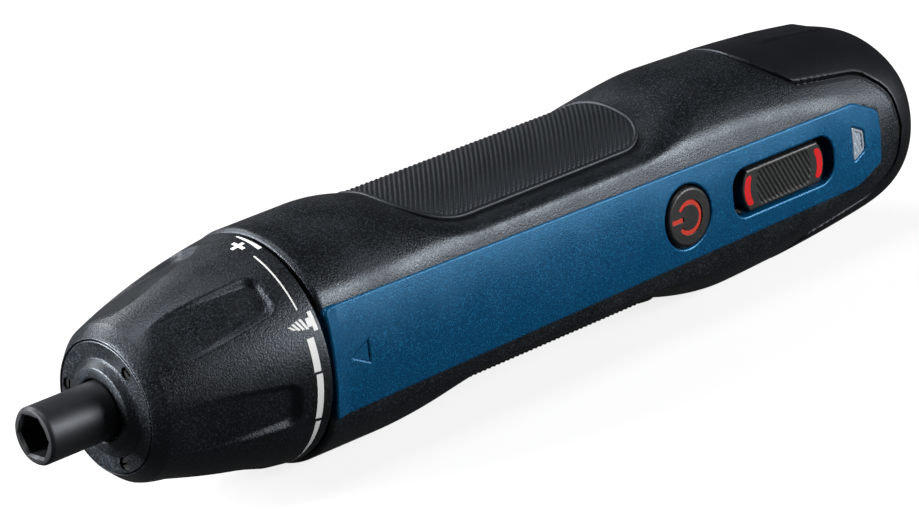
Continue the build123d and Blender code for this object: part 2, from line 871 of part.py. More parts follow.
def gear_case():
    """The fixed case: a long sleeve for the spindle, a skirt under the collar and a cup for the gears."""
    bore = bush_diameter / 2
    skirt_x = wall_front_x - skirt_length
    case_end = motor_plate_x
    half_sleeve = sleeve_diameter / 2
    case = turned(
        (nose_ring_x, bore), (nose_ring_x, nose_ring_bore / 2), (sleeve_step_x, nose_ring_bore / 2),
        (sleeve_step_x, half_sleeve), (wall_front_x, half_sleeve),
        (wall_front_x, skirt_diameter / 2 - skirt_wall), (skirt_x, skirt_diameter / 2 - skirt_wall),
        (skirt_x, skirt_diameter / 2), (body_front_x - seam_gap, skirt_diameter / 2),
        (body_front_x - seam_gap, flange_diameter / 2), (body_front_x + flange_length, flange_diameter / 2),
        (body_front_x + flange_length, case_diameter / 2), (case_end, case_diameter / 2),
        (case_end, case_bore / 2), (wall_rear_x, case_bore / 2),
        (wall_rear_x, hub_diameter / 2 + slip_fit), (wall_front_x, hub_diameter / 2 + slip_fit),
        (wall_front_x, thrust_bore / 2), (clip_x - seam_gap, thrust_bore / 2), (clip_x - seam_gap, bore))
    for place in ball_places():
        case -= place * Rot(0, 90, 0) * Cylinder(ball_diameter / 2 + running_fit, 2 * case_front_wall)
    case -= block((body_front_x - slip_fit, body_rear_x), (-far, -panel_back + slip_fit), (-far, far))
    case -= start_sensor_block(slip_fit)
    return case


def start_sensor_block(grow=0.0):
    """The start sensor's body or, grown a little, the pocket that holds it."""
    half = sensor_size / 2 + grow
    top = sleeve_diameter / 2
    middle = thrust_x + thrust_ring_length / 2 + push_travel / 2
    bottom = top - sensor_thickness - slip_fit
    return block((middle - half, middle + half), (-half, half),
                 (bottom - grow, top - slip_fit + (sensor_thickness if grow else 0.0)))


def start_sensor():
    """The sensor that feels the thrust ring move when the bit is pressed."""
    return start_sensor_block()


def tooth_row(teeth, pitch_radius, inner, outer, thickness, flank_angle):
    """A toothed outline: straight-flanked teeth about a pitch circle, one tooth on the first axis."""
    slope = math.tan(math.radians(flank_angle))
    points = []
    for i in range(teeth):
        middle = 2 * math.pi * i / teeth
        for radius, side in ((inner, -1), (outer, -1), (outer, 1), (inner, 1)):
            half = thickness / 2 - (radius - pitch_radius) * slope
            angle = middle + side * half / radius
            points.append((radius * math.cos(angle), radius * math.sin(angle)))
    return make_face(Polyline(*points, close=True))


def pinion_outline(teeth):
    """An external gear's outline, one tooth on the Y axis."""
    pitch = gear_module * teeth / 2
    root = pitch - tooth_dedendum
    return tooth_row(teeth, pitch, root, pitch + tooth_addendum, tooth_thickness, gear_flank_angle)


ring_teeth = sun_teeth + 2 * planet_teeth
centre_distance = gear_module * (sun_teeth + planet_teeth) / 2


def ring_gear(x_front, x_rear):
    """An internal gear, one tooth space on the Y axis."""
    pitch = gear_module * ring_teeth / 2
    space = math.pi * gear_module - tooth_thickness
    root = pitch + tooth_dedendum
    hole = tooth_row(ring_teeth, pitch, pitch - tooth_addendum, root, space, ring_flank_angle)
    return bar(x_front, x_rear, ring_diameter) - across(hole, x_front - 1, x_rear + 1)


def second_ring():
    """The output stage's ring gear, dimpled on its face for the clutch balls."""
    ring = ring_gear(second_ring_x, first_carrier_x - seam_gap)
    for place in ball_places():
        ring -= place * Sphere(ball_diameter / 2 + running_fit)
    return ring


def first_ring():
    """The input stage's ring gear, fixed in the case."""
    return ring_gear(first_carrier_x, motor_plate_x - slip_fit)


def planet_places():
    return [Rot(360 * i / planet_count, 0, 0) for i in range(planet_count)]


def planet(x_front, place):
    """One planet gear on its carrier pin."""
    gear = pinion_outline(planet_teeth) - Circle(planet_pin_diameter / 2 + running_fit)
    return place * across(Pos(centre_distance, 0) * gear, x_front, x_front + gear_width)


def carrier(x_front):
    """A carrier disc with its planet pins."""
    disc = bar(x_front, x_front + carrier_thickness, carrier_diameter)
    pin = Pos(0, centre_distance, 0) * along(planet_pin_diameter, x_front + carrier_thickness / 2,
                                             x_front + carrier_thickness + gear_width + gear_side_gap)
    for place in planet_places():
        disc += place * pin
    return disc


def second_carrier():
    """The output carrier, with a hub that drives the spindle's six-sided tail."""
    hub = bar(second_carrier_x - hub_length, second_carrier_x + carrier_thickness / 2, hub_diameter)
    body = carrier(second_carrier_x) + hub
    drive = hexagon(tail_flats + 2 * slip_fit)
    return body - across(drive, second_carrier_x - hub_length - 1, second_carrier_x + carrier_thickness + 1)


def first_carrier():
    """The input carrier, made in one piece with the output stage's sun gear."""
    sun = across(pinion_outline(sun_teeth), second_gear_x, first_carrier_x + carrier_thickness / 2)
    return carrier(first_carrier_x) + sun


def motor_plate():
    """The plate that closes the gear case and carries the motor."""
    pinion_diameter = gear_module * sun_teeth + 2 * tooth_addendum
    seat = motor_plate_x + motor_screw_sink
    plate = bar(motor_plate_x, motor_x, case_diameter, pinion_diameter + 2 * pinion_room)
    for side in (-1, 1):
        place = Pos(0, 0, side * motor_screw_spacing / 2)
        plate -= place * along(motor_screw_head + 2 * slip_fit, motor_plate_x - 1, seat)
        plate -= place * along(motor_screw_diameter, motor_plate_x, motor_x + 1)
    return plate


def motor_screws():
    """The two screws that hold the motor to its plate."""
    seat = motor_plate_x + motor_screw_sink
    group = []
    for side in (-1, 1):
        screw = along(motor_screw_head, seat - motor_screw_head_depth, seat)
        screw += along(motor_screw_diameter, seat - slip_fit, motor_x + motor_face + motor_screw_grip)
        group.append(Pos(0, 0, side * motor_screw_spacing / 2) * screw)
    return group


# Motor

def motor_can():
    """The drawn steel can, open at the brush end."""
    inner = motor_diameter / 2 - motor_wall
    hole = motor_shaft_diameter / 2 + running_fit
    can = turned((motor_x, hole), (motor_x, motor_diameter / 2), (end_cap_x, motor_diameter / 2),
                 (end_cap_x, inner), (motor_x + motor_face, inner), (motor_x + motor_face, hole))
    for side in (-1, 1):
        screw = along(motor_screw_diameter, motor_x - 1, motor_x + motor_face + 1)
        can -= Pos(0, 0, side * motor_screw_spacing / 2) * screw
    return can


def motor_magnets():
    """The two arc magnets inside the can."""
    outer = motor_diameter / 2 - motor_wall
    middle = motor_x + motor_length / 2
    profile = make_face(Polyline(
        (middle - motor_magnet_length / 2, outer - motor_magnet_wall),
        (middle + motor_magnet_length / 2, outer - motor_magnet_wall),
        (middle + motor_magnet_length / 2, outer),
        (middle - motor_magnet_length / 2, outer), close=True))
    arc = revolve(profile, Axis.X, magnet_arc)
    return [Rot(-magnet_arc / 2 + side, 0, 0) * arc for side in (0, 180)]


def motor_shaft():
    """The ground steel shaft that the pinion and the armature are pressed on."""
    return bar(first_gear_x - slip_fit, end_cap_x + end_cap_length, motor_shaft_diameter)


def sun_pinion():
    """The motor's pinion, the input stage's sun gear."""
    sketch = pinion_outline(sun_teeth) - Circle(motor_shaft_diameter / 2)
    return across(sketch, first_gear_x, first_gear_x + gear_width)


def armature():
    """The laminated three-pole armature and its commutator."""
    middle = motor_x + motor_length / 2
    start = middle - armature_length / 2
    end = middle + armature_length / 2
    core = bar(start, end, armature_diameter, motor_shaft_diameter)
    core += bar(end - commutator_length / 2, end + commutator_length, commutator_diameter,
                motor_shaft_diameter)
    slot = block((start - 1, end + 1), (-armature_slot_width / 2, armature_slot_width / 2),
                 (armature_diameter / 2 - armature_slot_depth, armature_diameter))
    for i in range(armature_slot_count):
        core -= Rot(360 * i / armature_slot_count, 0, 0) * slot
    return core


def motor_end_cap():
    """The moulded brush cap that closes the can."""
    return bar(end_cap_x, end_cap_x + end_cap_length, motor_diameter, motor_shaft_diameter + 2 * running_fit)


# Spindle

def bit_holder():
    """The turned spindle: hex bit socket in front, shaft behind, six-sided tail into the carrier."""
    edge = holder_diameter / 2
    shaft_end = thrust_x + thrust_ring_length + push_travel / 2
    groove = shaft_diameter / 2 - clip_groove_depth
    clip_end = clip_x + clip_thickness
    spindle = turned((0, 0), (0, edge - holder_chamfer), (holder_chamfer, edge), (holder_length, edge),
                     (holder_length, shaft_diameter / 2), (clip_x, shaft_diameter / 2), (clip_x, groove),
                     (clip_end, groove), (clip_end, shaft_diameter / 2), (shaft_end, shaft_diameter / 2),
                     (shaft_end, 0))
    tail_end = second_carrier_x + carrier_thickness - push_travel - seam_gap
    spindle += across(hexagon(tail_flats), shaft_end - thrust_ring_length / 2, tail_end)
    spindle -= across(hexagon(bit_flats + 2 * socket_clearance), -1, socket_depth)
    return spindle - bar(socket_depth - 1, socket_depth + magnet_length, magnet_diameter)


def socket_magnet():
    """The magnet at the bottom of the socket that holds the bit."""
    return bar(socket_depth, socket_depth + magnet_length, magnet_diameter)


def spindle_clip():
    """The spring clip in the shaft's groove, behind the rear bush."""
    return bar(clip_x, clip_x + clip_thickness, clip_diameter, shaft_diameter - 2 * clip_groove_depth)


def front_bush():
    """The sintered bush that the bit holder turns and slides in."""
    start = nose_ring_x + slip_fit
    return bar(start, nose_ring_x + front_bush_length, bush_diameter, holder_diameter + 2 * running_fit)


def rear_bush():
    """The sintered bush round the shaft."""
    return bar(rear_bush_x, rear_bush_x + rear_bush_length, bush_diameter, shaft_diameter + 2 * running_fit)


def return_spring():
    """The spring that pushes the spindle out again."""
    diameter = shaft_diameter + 2 * return_spring_room
    front = holder_length + slip_fit
    return coil(front, rear_bush_x - slip_fit, diameter, return_spring_wire, return_spring_turns)


def thrust_ring():
    """The magnetic ring behind the clip, which slides with the spindle and doesn't turn."""
    bore = shaft_diameter + 2 * running_fit
    return bar(thrust_x, thrust_x + thrust_ring_length, thrust_bore - 2 * slip_fit, bore)


# Board, cell and charging socket

def main_board():
    """The circuit board behind the panel, with a narrow tongue for the charging socket."""
    end = board_x + board_length
    board = block((board_x, end), (-board_front, -board_back), (-board_width / 2, board_width / 2))
    return board + block((end - 1, end + board_tongue_length), (-board_front, -board_back),
                         (-board_tongue_width / 2, board_tongue_width / 2))


def button_switch():
    """The dome switch under the power button."""
    top = board_front + button_switch_height
    square = on_panel(button_x) * Rectangle(button_switch_size, button_switch_size)
    body = from_panel(square, top, board_front)
    plunger = on_panel(button_x) * Circle(button_plunger_diameter / 2)
    return body + from_panel(plunger, top + button_plunger_height, top - button_switch_height / 2)


def slide_switch():
    """The switch that the slider's peg works."""
    return from_panel(on_panel(slot_x) * Rectangle(slide_switch_length, slide_switch_width),
                      board_front + slide_switch_height, board_front)


def status_led():
    """The charge light behind the status window."""
    place = Pos(body_front_x + window_x + window_width / 2, window_rise)
    return from_panel(place * Rectangle(led_size, led_size), board_front + led_height, board_front)


def usb_socket():
    """The charging socket on the board's tongue, open to the tail."""
    low = -board_back
    shell = block((port_x - usb_length, port_x), (low, low + usb_height), (-usb_width / 2, usb_width / 2))
    mouth = block((port_x - usb_length + usb_back_wall, port_x + 1),
                  (low + usb_wall, low + usb_height - usb_wall),
                  (-usb_width / 2 + usb_wall, usb_width / 2 - usb_wall))
    return shell - mouth


def cell():
    """The lithium cell, its raised pole at the tail."""
    nub = bar(cell_end_x - cell_nub_height, cell_end_x + cell_nub_height, cell_nub_diameter)
    return bar(cell_start_x, cell_end_x, cell_diameter) + nub


def cell_tabs():
    """The welded strips from the cell's two poles to the board."""
    tabs = []
    for x in (cell_start_x - tab_thickness, cell_end_x + cell_nub_height):
        tabs.append(block((x, x + tab_thickness), (-board_back, tab_reach), (-tab_width / 2, tab_width / 2)))
    return tabs


# The assembly, one file for each piece

whole = housing_whole()
pad = grip_pad()
nodes = {
    "upper_housing": housing_shell(whole, True),
    "lower_housing": housing_shell(whole, False),
    "housing_screws": housing_screws(),
    "upper_grip": pad,
    "lower_grip": Rot(180, 0, 0) * pad,
    "tail_cover": tail_cover(),
    "control_panel": control_panel(),
    "power_button": power_button(),
    "power_symbol": power_symbol(),
    "direction_slider": direction_slider(),
    "slider_marks": slider_marks(),
    "status_window": status_window(),
    "nose_plate": nose_plate(),
    "nose_screws": nose_screws(),
    "nose_ring": nose_ring(),
    "torque_collar": torque_collar(),
    "clutch_nut": clutch_nut(),
    "clutch_spring": clutch_spring(),
    "clutch_washer": clutch_washer(),
    "clutch_balls": clutch_balls(),
    "gear_case": gear_case(),
    "start_sensor": start_sensor(),
    "second_ring": second_ring(),
    "second_carrier": second_carrier(),
    "first_ring": first_ring(),
    "first_carrier": first_carrier(),
    "sun_pinion": sun_pinion(),
    "motor_plate": motor_plate(),
    "motor_screws": motor_screws(),
    "motor_can": motor_can(),
    "motor_magnets": motor_magnets(),
    "motor_shaft": motor_shaft(),
    "armature": armature(),
    "motor_end_cap": motor_end_cap(),
    "bit_holder": bit_holder(),
    "socket_magnet": socket_magnet(),
    "spindle_clip": spindle_clip(),
    "front_bush": front_bush(),
    "rear_bush": rear_bush(),
    "return_spring": return_spring(),
    "thrust_ring": thrust_ring(),
    "main_board": main_board(),
    "button_switch": button_switch(),
    "slide_switch": slide_switch(),
    "status_led": status_led(),
    "usb_socket": usb_socket(),
    "cell": cell(),
    "cell_tabs": cell_tabs(),
}
for number, place in enumerate(planet_places(), 1):
    nodes[f"second_planet_{number}"] = planet(second_gear_x, place)
    nodes[f"first_planet_{number}"] = planet(first_gear_x, place)

os.makedirs("parts", exist_ok=True)
for name, shape in nodes.items():
    if isinstance(shape, list):
        shape = Compound(children=shape)
    export_step(shape, f"parts/{name}.step")
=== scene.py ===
import json
import math
import bpy
import numpy as np
from mathutils import Matrix, Vector, geometry


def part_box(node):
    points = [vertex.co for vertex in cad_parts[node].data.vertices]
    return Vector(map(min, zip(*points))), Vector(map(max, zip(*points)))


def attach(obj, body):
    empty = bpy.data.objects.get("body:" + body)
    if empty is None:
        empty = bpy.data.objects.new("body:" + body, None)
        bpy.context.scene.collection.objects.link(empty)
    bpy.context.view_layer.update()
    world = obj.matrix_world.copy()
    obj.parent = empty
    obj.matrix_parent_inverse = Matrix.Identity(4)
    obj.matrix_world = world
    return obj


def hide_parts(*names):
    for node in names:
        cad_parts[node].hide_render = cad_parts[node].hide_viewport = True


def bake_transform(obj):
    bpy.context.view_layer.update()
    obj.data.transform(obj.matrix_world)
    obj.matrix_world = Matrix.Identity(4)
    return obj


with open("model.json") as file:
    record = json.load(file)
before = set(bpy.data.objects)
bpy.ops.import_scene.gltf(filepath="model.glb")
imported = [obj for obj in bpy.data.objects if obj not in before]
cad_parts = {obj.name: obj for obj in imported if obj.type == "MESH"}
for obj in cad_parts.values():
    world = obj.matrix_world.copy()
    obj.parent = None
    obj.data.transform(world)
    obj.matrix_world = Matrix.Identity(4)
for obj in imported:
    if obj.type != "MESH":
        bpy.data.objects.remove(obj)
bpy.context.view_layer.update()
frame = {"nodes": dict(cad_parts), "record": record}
cad = frame["nodes"]

# Drive train and electrics, closed up inside the housing.
# Ground steel, sintered bronze, glass-filled nylon and a lacquered board.
# They keep their CAD solids and only get their finish.


def colour(code):
    """An sRGB hex value as the linear RGBA that a shader takes."""
    srgb = np.array([int(code[i:i + 2], 16) for i in (1, 3, 5)]) / 255
    line = np.where(srgb <= 0.04045, srgb / 12.92, ((srgb + 0.055) / 1.055) ** 2.4)
    return (*line.tolist(), 1.0)


def add(tree, kind, values=None, links=None, **settings):
    """Adds one node, with its properties, its socket values and the links into it."""
    made = tree.nodes.new(kind)
    for key, value in settings.items():
        setattr(made, key, value)
    for key, value in (values or {}).items():
        made.inputs[key].default_value = value
    for key, source in (links or {}).items():
        tree.links.new(source, made.inputs[key])
    return made


def emptied(owner):
    """The node tree of a material or of the world, with nothing in it."""
    owner.use_nodes = True
    owner.node_tree.nodes.clear()
    return owner.node_tree


def per_metre(size_mm):
    """How often a pattern of this size comes in a metre, which is a texture's scale."""
    return 1000 / size_mm


wear_mm = 9.0
peak_low, peak_high = 0.52, 0.78


def grained(name, code, roughness, grain_mm, depth_mm, metallic=0.0, spread=0.08, fleck=None, **sockets):
    """A surface with a fine all-over grain: a noise of the grain's size moves the bump, and it moves the
    roughness together with a wider noise, as wear does. Given a lighter colour for them, the grain's peaks
    also turn to it: partly a speckle of the grain and partly painted glints, where light would catch them."""
    made = bpy.data.materials.new(name)
    tree = emptied(made)
    place = add(tree, "ShaderNodeTexCoord")
    grain = add(tree, "ShaderNodeTexNoise", {"Scale": per_metre(grain_mm), "Detail": 3.0, "Roughness": 0.6},
                {"Vector": place.outputs["Object"]})
    wear = add(tree, "ShaderNodeTexNoise", {"Scale": per_metre(wear_mm), "Detail": 2.0},
               {"Vector": place.outputs["Object"]})
    both = add(tree, "ShaderNodeMath", links={0: grain.outputs["Fac"], 1: wear.outputs["Fac"]},
               operation="ADD")
    rough = add(tree, "ShaderNodeMapRange",
                {"From Min": 0.6, "From Max": 1.4,
                 "To Min": roughness - spread, "To Max": roughness + spread}, {"Value": both.outputs[0]})
    bump = add(tree, "ShaderNodeBump", {"Strength": 1.0, "Distance": depth_mm / 1000},
               {"Height": grain.outputs["Fac"]})
    skin = add(tree, "ShaderNodeBsdfPrincipled",
               {"Base Color": colour(code), "Metallic": metallic, **sockets},
               {"Roughness": rough.outputs[0], "Normal": bump.outputs[0]})
    # The lighter colour on the grain's peaks is partly speckle and partly painted glint.
    if fleck:
        peaks = add(tree, "ShaderNodeMapRange", {"From Min": peak_low, "From Max": peak_high},
                    {"Value": grain.outputs["Fac"]})
        tone = add(tree, "ShaderNodeMix", {"A": colour(code), "B": colour(fleck)},
                   {"Factor": peaks.outputs[0]}, data_type="RGBA")
        tree.links.new(tone.outputs["Result"], skin.inputs["Base Color"])
    add(tree, "ShaderNodeOutputMaterial", links={"Surface": skin.outputs[0]})
    return made


# Ground steel is bright and a little soft, as a fine wheel leaves it.
steel = grained("ground steel", "#b4b7ba", 0.32, 0.4, 0.004, metallic=1.0)
# Sintered bronze is a dull gold, because its pores break up the shine.
bronze = grained("sintered bronze", "#9a7a4a", 0.5, 0.25, 0.01, metallic=1.0)
# Glass-filled nylon is nearly black and matt, because the fibres roughen its skin.
nylon = grained("glass-filled nylon", "#26282b", 0.55, 0.3, 0.01)
# Laminated iron is a dark grey with hardly any shine.
iron = grained("laminated iron", "#4b4946", 0.6, 0.3, 0.01, metallic=0.8)
# Solder resist is a smooth green lacquer.
board_lacquer = grained("solder resist", "#1d5233", 0.4, 0.5, 0.006)
# Shrink wrap is a glossy film that lies in slight waves.
wrap = grained("shrink wrap", "#2f7a6a", 0.35, 1.5, 0.01)
# Cast resin is nearly white and glossy.
resin = grained("cast resin", "#e6ebe8", 0.25, 1.0, 0.004)
slot_finish = {
    "bright_steel": steel, "sintered_bronze": bronze, "case_plastic": nylon, "dark_iron": iron,
    "board_laminate": board_lacquer, "cell_wrap": wrap, "led_resin": resin,
}


def dress(node, finish):
    """Gives a CAD node its finish."""
    cad[node].data.materials.clear()
    cad[node].data.materials.append(finish)


for row in frame["record"]["subparts"]:
    if row["material_slot"] in slot_finish:
        dress(row["node"], slot_finish[row["material_slot"]])

# Housing: two moulded ABS shells, parted along the middle, with a fine spark-eroded grain.
# Their outside is round, bowed flat under the panel and scooped round each grip pad.
# All lengths from here on are millimetres along the spindle axis or from it.

front_x = 46.0
front_radius, bulge_radius = 20.3, 20.8
bulge_x = 141.5
hip_x, hip_radius = 170.0, 19.6
tail_x, tail_corner_radius = 194.0, 17.25
end_start_x, end_power = 176.0, 5.8
rest_depth = 20.05
crest_drop, crest_low, crest_high = 0.35, 0.25, 0.95
panel_crest, panel_radius = 18.2, 46.0
drum_y = panel_radius - panel_crest


def arc_through(p, q, r):
    """The circle through three points as a height over x: centre height plus the root of R2 - (x - xc)2."""
    (x1, y1), (x2, y2), (x3, y3) = p, q, r
    d = 2 * (x1 * (y2 - y3) + x2 * (y3 - y1) + x3 * (y1 - y2))
    s1, s2, s3 = x1 * x1 + y1 * y1, x2 * x2 + y2 * y2, x3 * x3 + y3 * y3
    xc = (s1 * (y2 - y3) + s2 * (y3 - y1) + s3 * (y1 - y2)) / d
    yc = (s1 * (x3 - x2) + s2 * (x1 - x3) + s3 * (x2 - x1)) / d
    radius = math.hypot(x1 - xc, y1 - yc)
    return lambda x: yc + np.sqrt(np.maximum(radius ** 2 - (x - xc) ** 2, 0))


flank = arc_through((bulge_x, bulge_radius), (hip_x, hip_radius), (tail_x, tail_corner_radius))


def round_radius(x):
    """The round body's radius: a straight cone to the bulge, then a long arc to the tail."""
    x = np.asarray(x, float)
    cone = front_radius + (bulge_radius - front_radius) * (x - front_x) / (bulge_x - front_x)
    return np.where(x < bulge_x, cone, flank(x))


def soft_min(a, b, width):
    """The lesser of two heights, with the crease between them rounded over a width."""
    h = np.clip(0.5 + 0.5 * (b - a) / width, 0, 1)
    return b * (1 - h) + a * h - width * h * (1 - h)


def smooth_step(value, low, high):
    """0 below low, 1 above high, and a cubic between."""
    t = np.clip((value - low) / (high - low), 0, 1)
    return t * t * (3 - 2 * t)


def drum_reach(angle):
    """How far from the axis the panel's bowed face lies, in a direction counted from -Y towards +Z."""
    c = drum_y * np.cos(angle)
    return -c + np.sqrt(c * c - drum_y ** 2 + panel_radius ** 2)


def crest(angle):
    """How much lower the body is than a full round: a step in the sine, so that only the top is lower."""
    return crest_drop * smooth_step(np.sin(angle), crest_low, crest_high)


def polar(x, angle, radius):
    """Points at a place along the axis, a direction from -Y towards +Z, and a distance from the axis."""
    x, angle, radius = np.broadcast_arrays(x, angle, radius)
    return np.stack([x, -radius * np.cos(angle), radius * np.sin(angle)], -1)


pad_front_x, pad_rear_x = 72.0, 128.6
pad_middle_x = (pad_front_x + pad_rear_x) / 2
pad_crest, pad_half_width = 18.55, 12.9
pad_half_arc = pad_crest * math.asin(pad_half_width / pad_crest)
pad_front_corner, pad_rear_corner = 12.0, 7.5
valley_drop, front_drop = 0.8, 0.12
end_slope, side_slope = 0.26, 0.95


def pad_distance(x, angle):
    """Distance from the pad's rounded outline (inside negative), and how far it points sideways, 0 to 1."""
    u = x - pad_middle_x
    s = pad_crest * (np.abs(angle) - math.pi / 2)
    corner = np.where(u < 0, pad_front_corner, pad_rear_corner)
    dx = np.abs(u) - ((pad_rear_x - pad_front_x) / 2 - corner)
    ds = np.abs(s) - (pad_half_arc - corner)
    out_x, out_s = np.maximum(dx, 0), np.maximum(ds, 0)
    reach = np.hypot(out_x, out_s)
    sideways = np.where(reach > 1e-6, (out_s / np.maximum(reach, 1e-6)) ** 2, 0.5)
    return reach + np.minimum(np.maximum(dx, ds), 0) - corner, sideways


panel_front_half, panel_rear_half = 9.6, 8.0
panel_shoulder_x, panel_rear_x, panel_end_half = 174.4, 180.7, 5.0


def panel_depth(x, z):
    """Distance inside the panel's outline: the least from its long edge, its chamfer and its end."""
    def inside(p, q):
        run, rise = q[0] - p[0], q[1] - p[1]
        return ((x - p[0]) * rise - (np.abs(z) - p[1]) * run) / math.hypot(run, rise)
    long_edge = inside((front_x, panel_front_half), (panel_shoulder_x, panel_rear_half))
    chamfer = inside((panel_shoulder_x, panel_rear_half), (panel_rear_x, panel_end_half))
    return np.minimum(np.minimum(long_edge, chamfer), panel_rear_x - x)


def rounded(points, reach, steps=8):
    """A polyline whose inner corners are parabolas, each starting and ending its reach from the corner."""
    points = [np.array(p, float) for p in points]
    line = [points[0]]
    t = np.linspace(0, 1, steps)[:, None]
    reaches = np.broadcast_to(reach, len(points) - 2)
    for before, corner, after, far in zip(points, points[1:], points[2:], reaches):
        a = corner + (before - corner) * min(far / np.linalg.norm(before - corner), 0.5)
        b = corner + (after - corner) * min(far / np.linalg.norm(after - corner), 0.5)
        line.extend((1 - t) ** 2 * a + 2 * t * (1 - t) * corner + t * t * b)
    line = np.array(line + [points[-1]])
    apart = np.linalg.norm(np.diff(line, axis=0), axis=1) > 1e-6
    return line[np.concatenate([[True], apart])]


seam_line = rounded([(185.7, 0.0), (184.5, 7.0), (179.8, 10.95), (163.3, 13.3), (156.6, 19.0),
                     (156.6, 24.0)], (2.4, 1.8, 1.2, 1.2))


def seam_distance(x, z):
    """Distance behind the tail cover's seam in the side view; in front of it the distance is negative."""
    x, z = np.broadcast_arrays(x, z)
    p = np.stack([x, np.abs(z)], -1)[..., None, :]
    a, b = seam_line[:-1], seam_line[1:]
    along = np.clip(((p - a) * (b - a)).sum(-1) / ((b - a) ** 2).sum(-1), 0, 1)
    gap = np.linalg.norm(p - (a + along[..., None] * (b - a)), axis=-1).min(-1)
    behind = x > np.interp(np.abs(z), seam_line[:, 1], seam_line[:, 0])
    return np.where(behind, gap, -gap)


bow_blend, scoop_blend = 0.6, 1.6
pad_lap, pad_bed, panel_bed, cover_bed = 0.6, 1.6, 1.3, 1.2
bed_start, panel_bed_full, cover_bed_full = 0.3, 1.0, 0.75


def housing_radius(x, angle, side):
    """The shells' outside: round, bowed at the panel, scooped round the pads, lower under what covers it."""
    bulk = soft_min(round_radius(x) - crest(side * angle), drum_reach(angle), bow_blend)
    distance, sideways = pad_distance(x, angle)
    slope = end_slope + (side_slope - end_slope) * sideways
    ahead = (1 - sideways) * (x < pad_middle_x)
    scoop = pad_crest - valley_drop + (valley_drop - front_drop) * ahead + slope * distance
    radius = soft_min(bulk, scoop, scoop_blend)
    radius = np.where(distance < -pad_lap, np.minimum(radius, pad_crest - pad_bed), radius)
    z = radius * np.sin(angle)
    under_panel = smooth_step(panel_depth(x, z), bed_start, panel_bed_full) * (np.cos(angle) > 0)
    under_cover = smooth_step(seam_distance(x, z), bed_start, cover_bed_full)
    return radius - panel_bed * under_panel - cover_bed * under_cover


dome_x, dome_length, dome_draw = 190.0, 7.9, 0.09
dome_low, dome_high = 0.38, 1.2


def domed(points):
    """Points of the tail's end drawn in towards the axis over the top, by a share that is a bell in x."""
    x, y, z = points[..., 0], points[..., 1], points[..., 2]
    over = smooth_step(z / np.maximum(np.hypot(y, z), 1e-6), dome_low, dome_high)
    kept = 1 - dome_draw * over * np.exp(-((x - dome_x) / dome_length) ** 2)
    return np.stack([x, y * kept, z * kept], -1)


def grid(points, turn_over=False, closed=False):
    """Corners and quads of a grid of points, one quad between each four neighbours."""
    rows, columns = points.shape[:2]
    index = np.arange(rows * columns).reshape(rows, columns)
    if closed:
        index = np.hstack([index, index[:, :1]])
    quads = np.stack([index[:-1, :-1], index[1:, :-1], index[1:, 1:], index[:-1, 1:]], -1).reshape(-1, 4)
    return points.reshape(-1, 3), quads[:, ::-1] if turn_over else quads


def in_scene(name, data):
    """A new object at the origin that holds this data."""
    made = bpy.data.objects.new(name, data)
    bpy.context.scene.collection.objects.link(made)
    return made


def piece(name, parts, finish, body, stands_for=(), crease=40, wall_mm=0.0):
    """One object from (corners, faces) parts in millimetres, smooth but for creases past an angle."""
    corners = np.concatenate([p[0] for p in parts]) / 1000
    starts = np.cumsum([0] + [len(p[0]) for p in parts[:-1]])
    faces = [f + s for (_, f), s in zip(parts, starts)]
    mesh = bpy.data.meshes.new(name)
    sizes = np.concatenate([np.full(len(f), f.shape[1]) for f in faces])
    mesh.vertices.add(len(corners))
    mesh.vertices.foreach_set("co", corners.ravel())
    mesh.loops.add(int(sizes.sum()))
    mesh.loops.foreach_set("vertex_index", np.concatenate([f.ravel() for f in faces]).astype(np.int32))
    mesh.polygons.add(len(sizes))
    mesh.polygons.foreach_set("loop_start", np.concatenate([[0], np.cumsum(sizes)[:-1]]).astype(np.int32))
    mesh.polygons.foreach_set("use_smooth", np.ones(len(sizes), bool))
    mesh.update(calc_edges=True)
    mesh.validate()
    mesh.set_sharp_from_angle(angle=math.radians(crease))
    used = np.empty(len(mesh.loops), np.int32)
    mesh.loops.foreach_get("edge_index", used)
    sharp = np.empty(len(mesh.edges), bool)
    mesh.edges.foreach_get("use_edge_sharp", sharp)
    mesh.edges.foreach_set("use_edge_sharp", sharp | (np.bincount(used, minlength=len(sharp)) == 1))
    mesh.materials.append(finish)
    made = in_scene(name, mesh)
    if wall_mm:
        wall = made.modifiers.new("wall", "SOLIDIFY")
        wall.thickness = wall_mm / 1000
        wall.offset = -1
    if body:
        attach(made, body)
    if stands_for:
        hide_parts(*stands_for)
    return made


rim_length, rim_fall = 1.1, 0.8
lip_back, lip_fall = 0.9, 2.6
shell_end_x, shell_step, shell_wall = 189.0, 0.6, 1.4
window_half, window_fade_x, window_end_x = math.radians(15.5), 177.0, 178.6
part_groove = 0.35
# Black ABS from a spark-eroded mould is half matt, with cool glints where light catches its grain.
# The real grain is about 0.1 mm and wouldn't show, so it is drawn at 0.36 mm.
cool_gloss = {"Specular Tint": colour("#e6f1ff")}
# The lighter flecks on the grain's peaks are partly speckle and partly painted glints.
moulded_grain = {"code": "#030507", "grain_mm": 0.36, "depth_mm": 0.075, "spread": 0.15, "fleck": "#2b343c"}
abs_black = grained("spark-eroded black ABS", roughness=0.42, **moulded_grain, **cool_gloss)


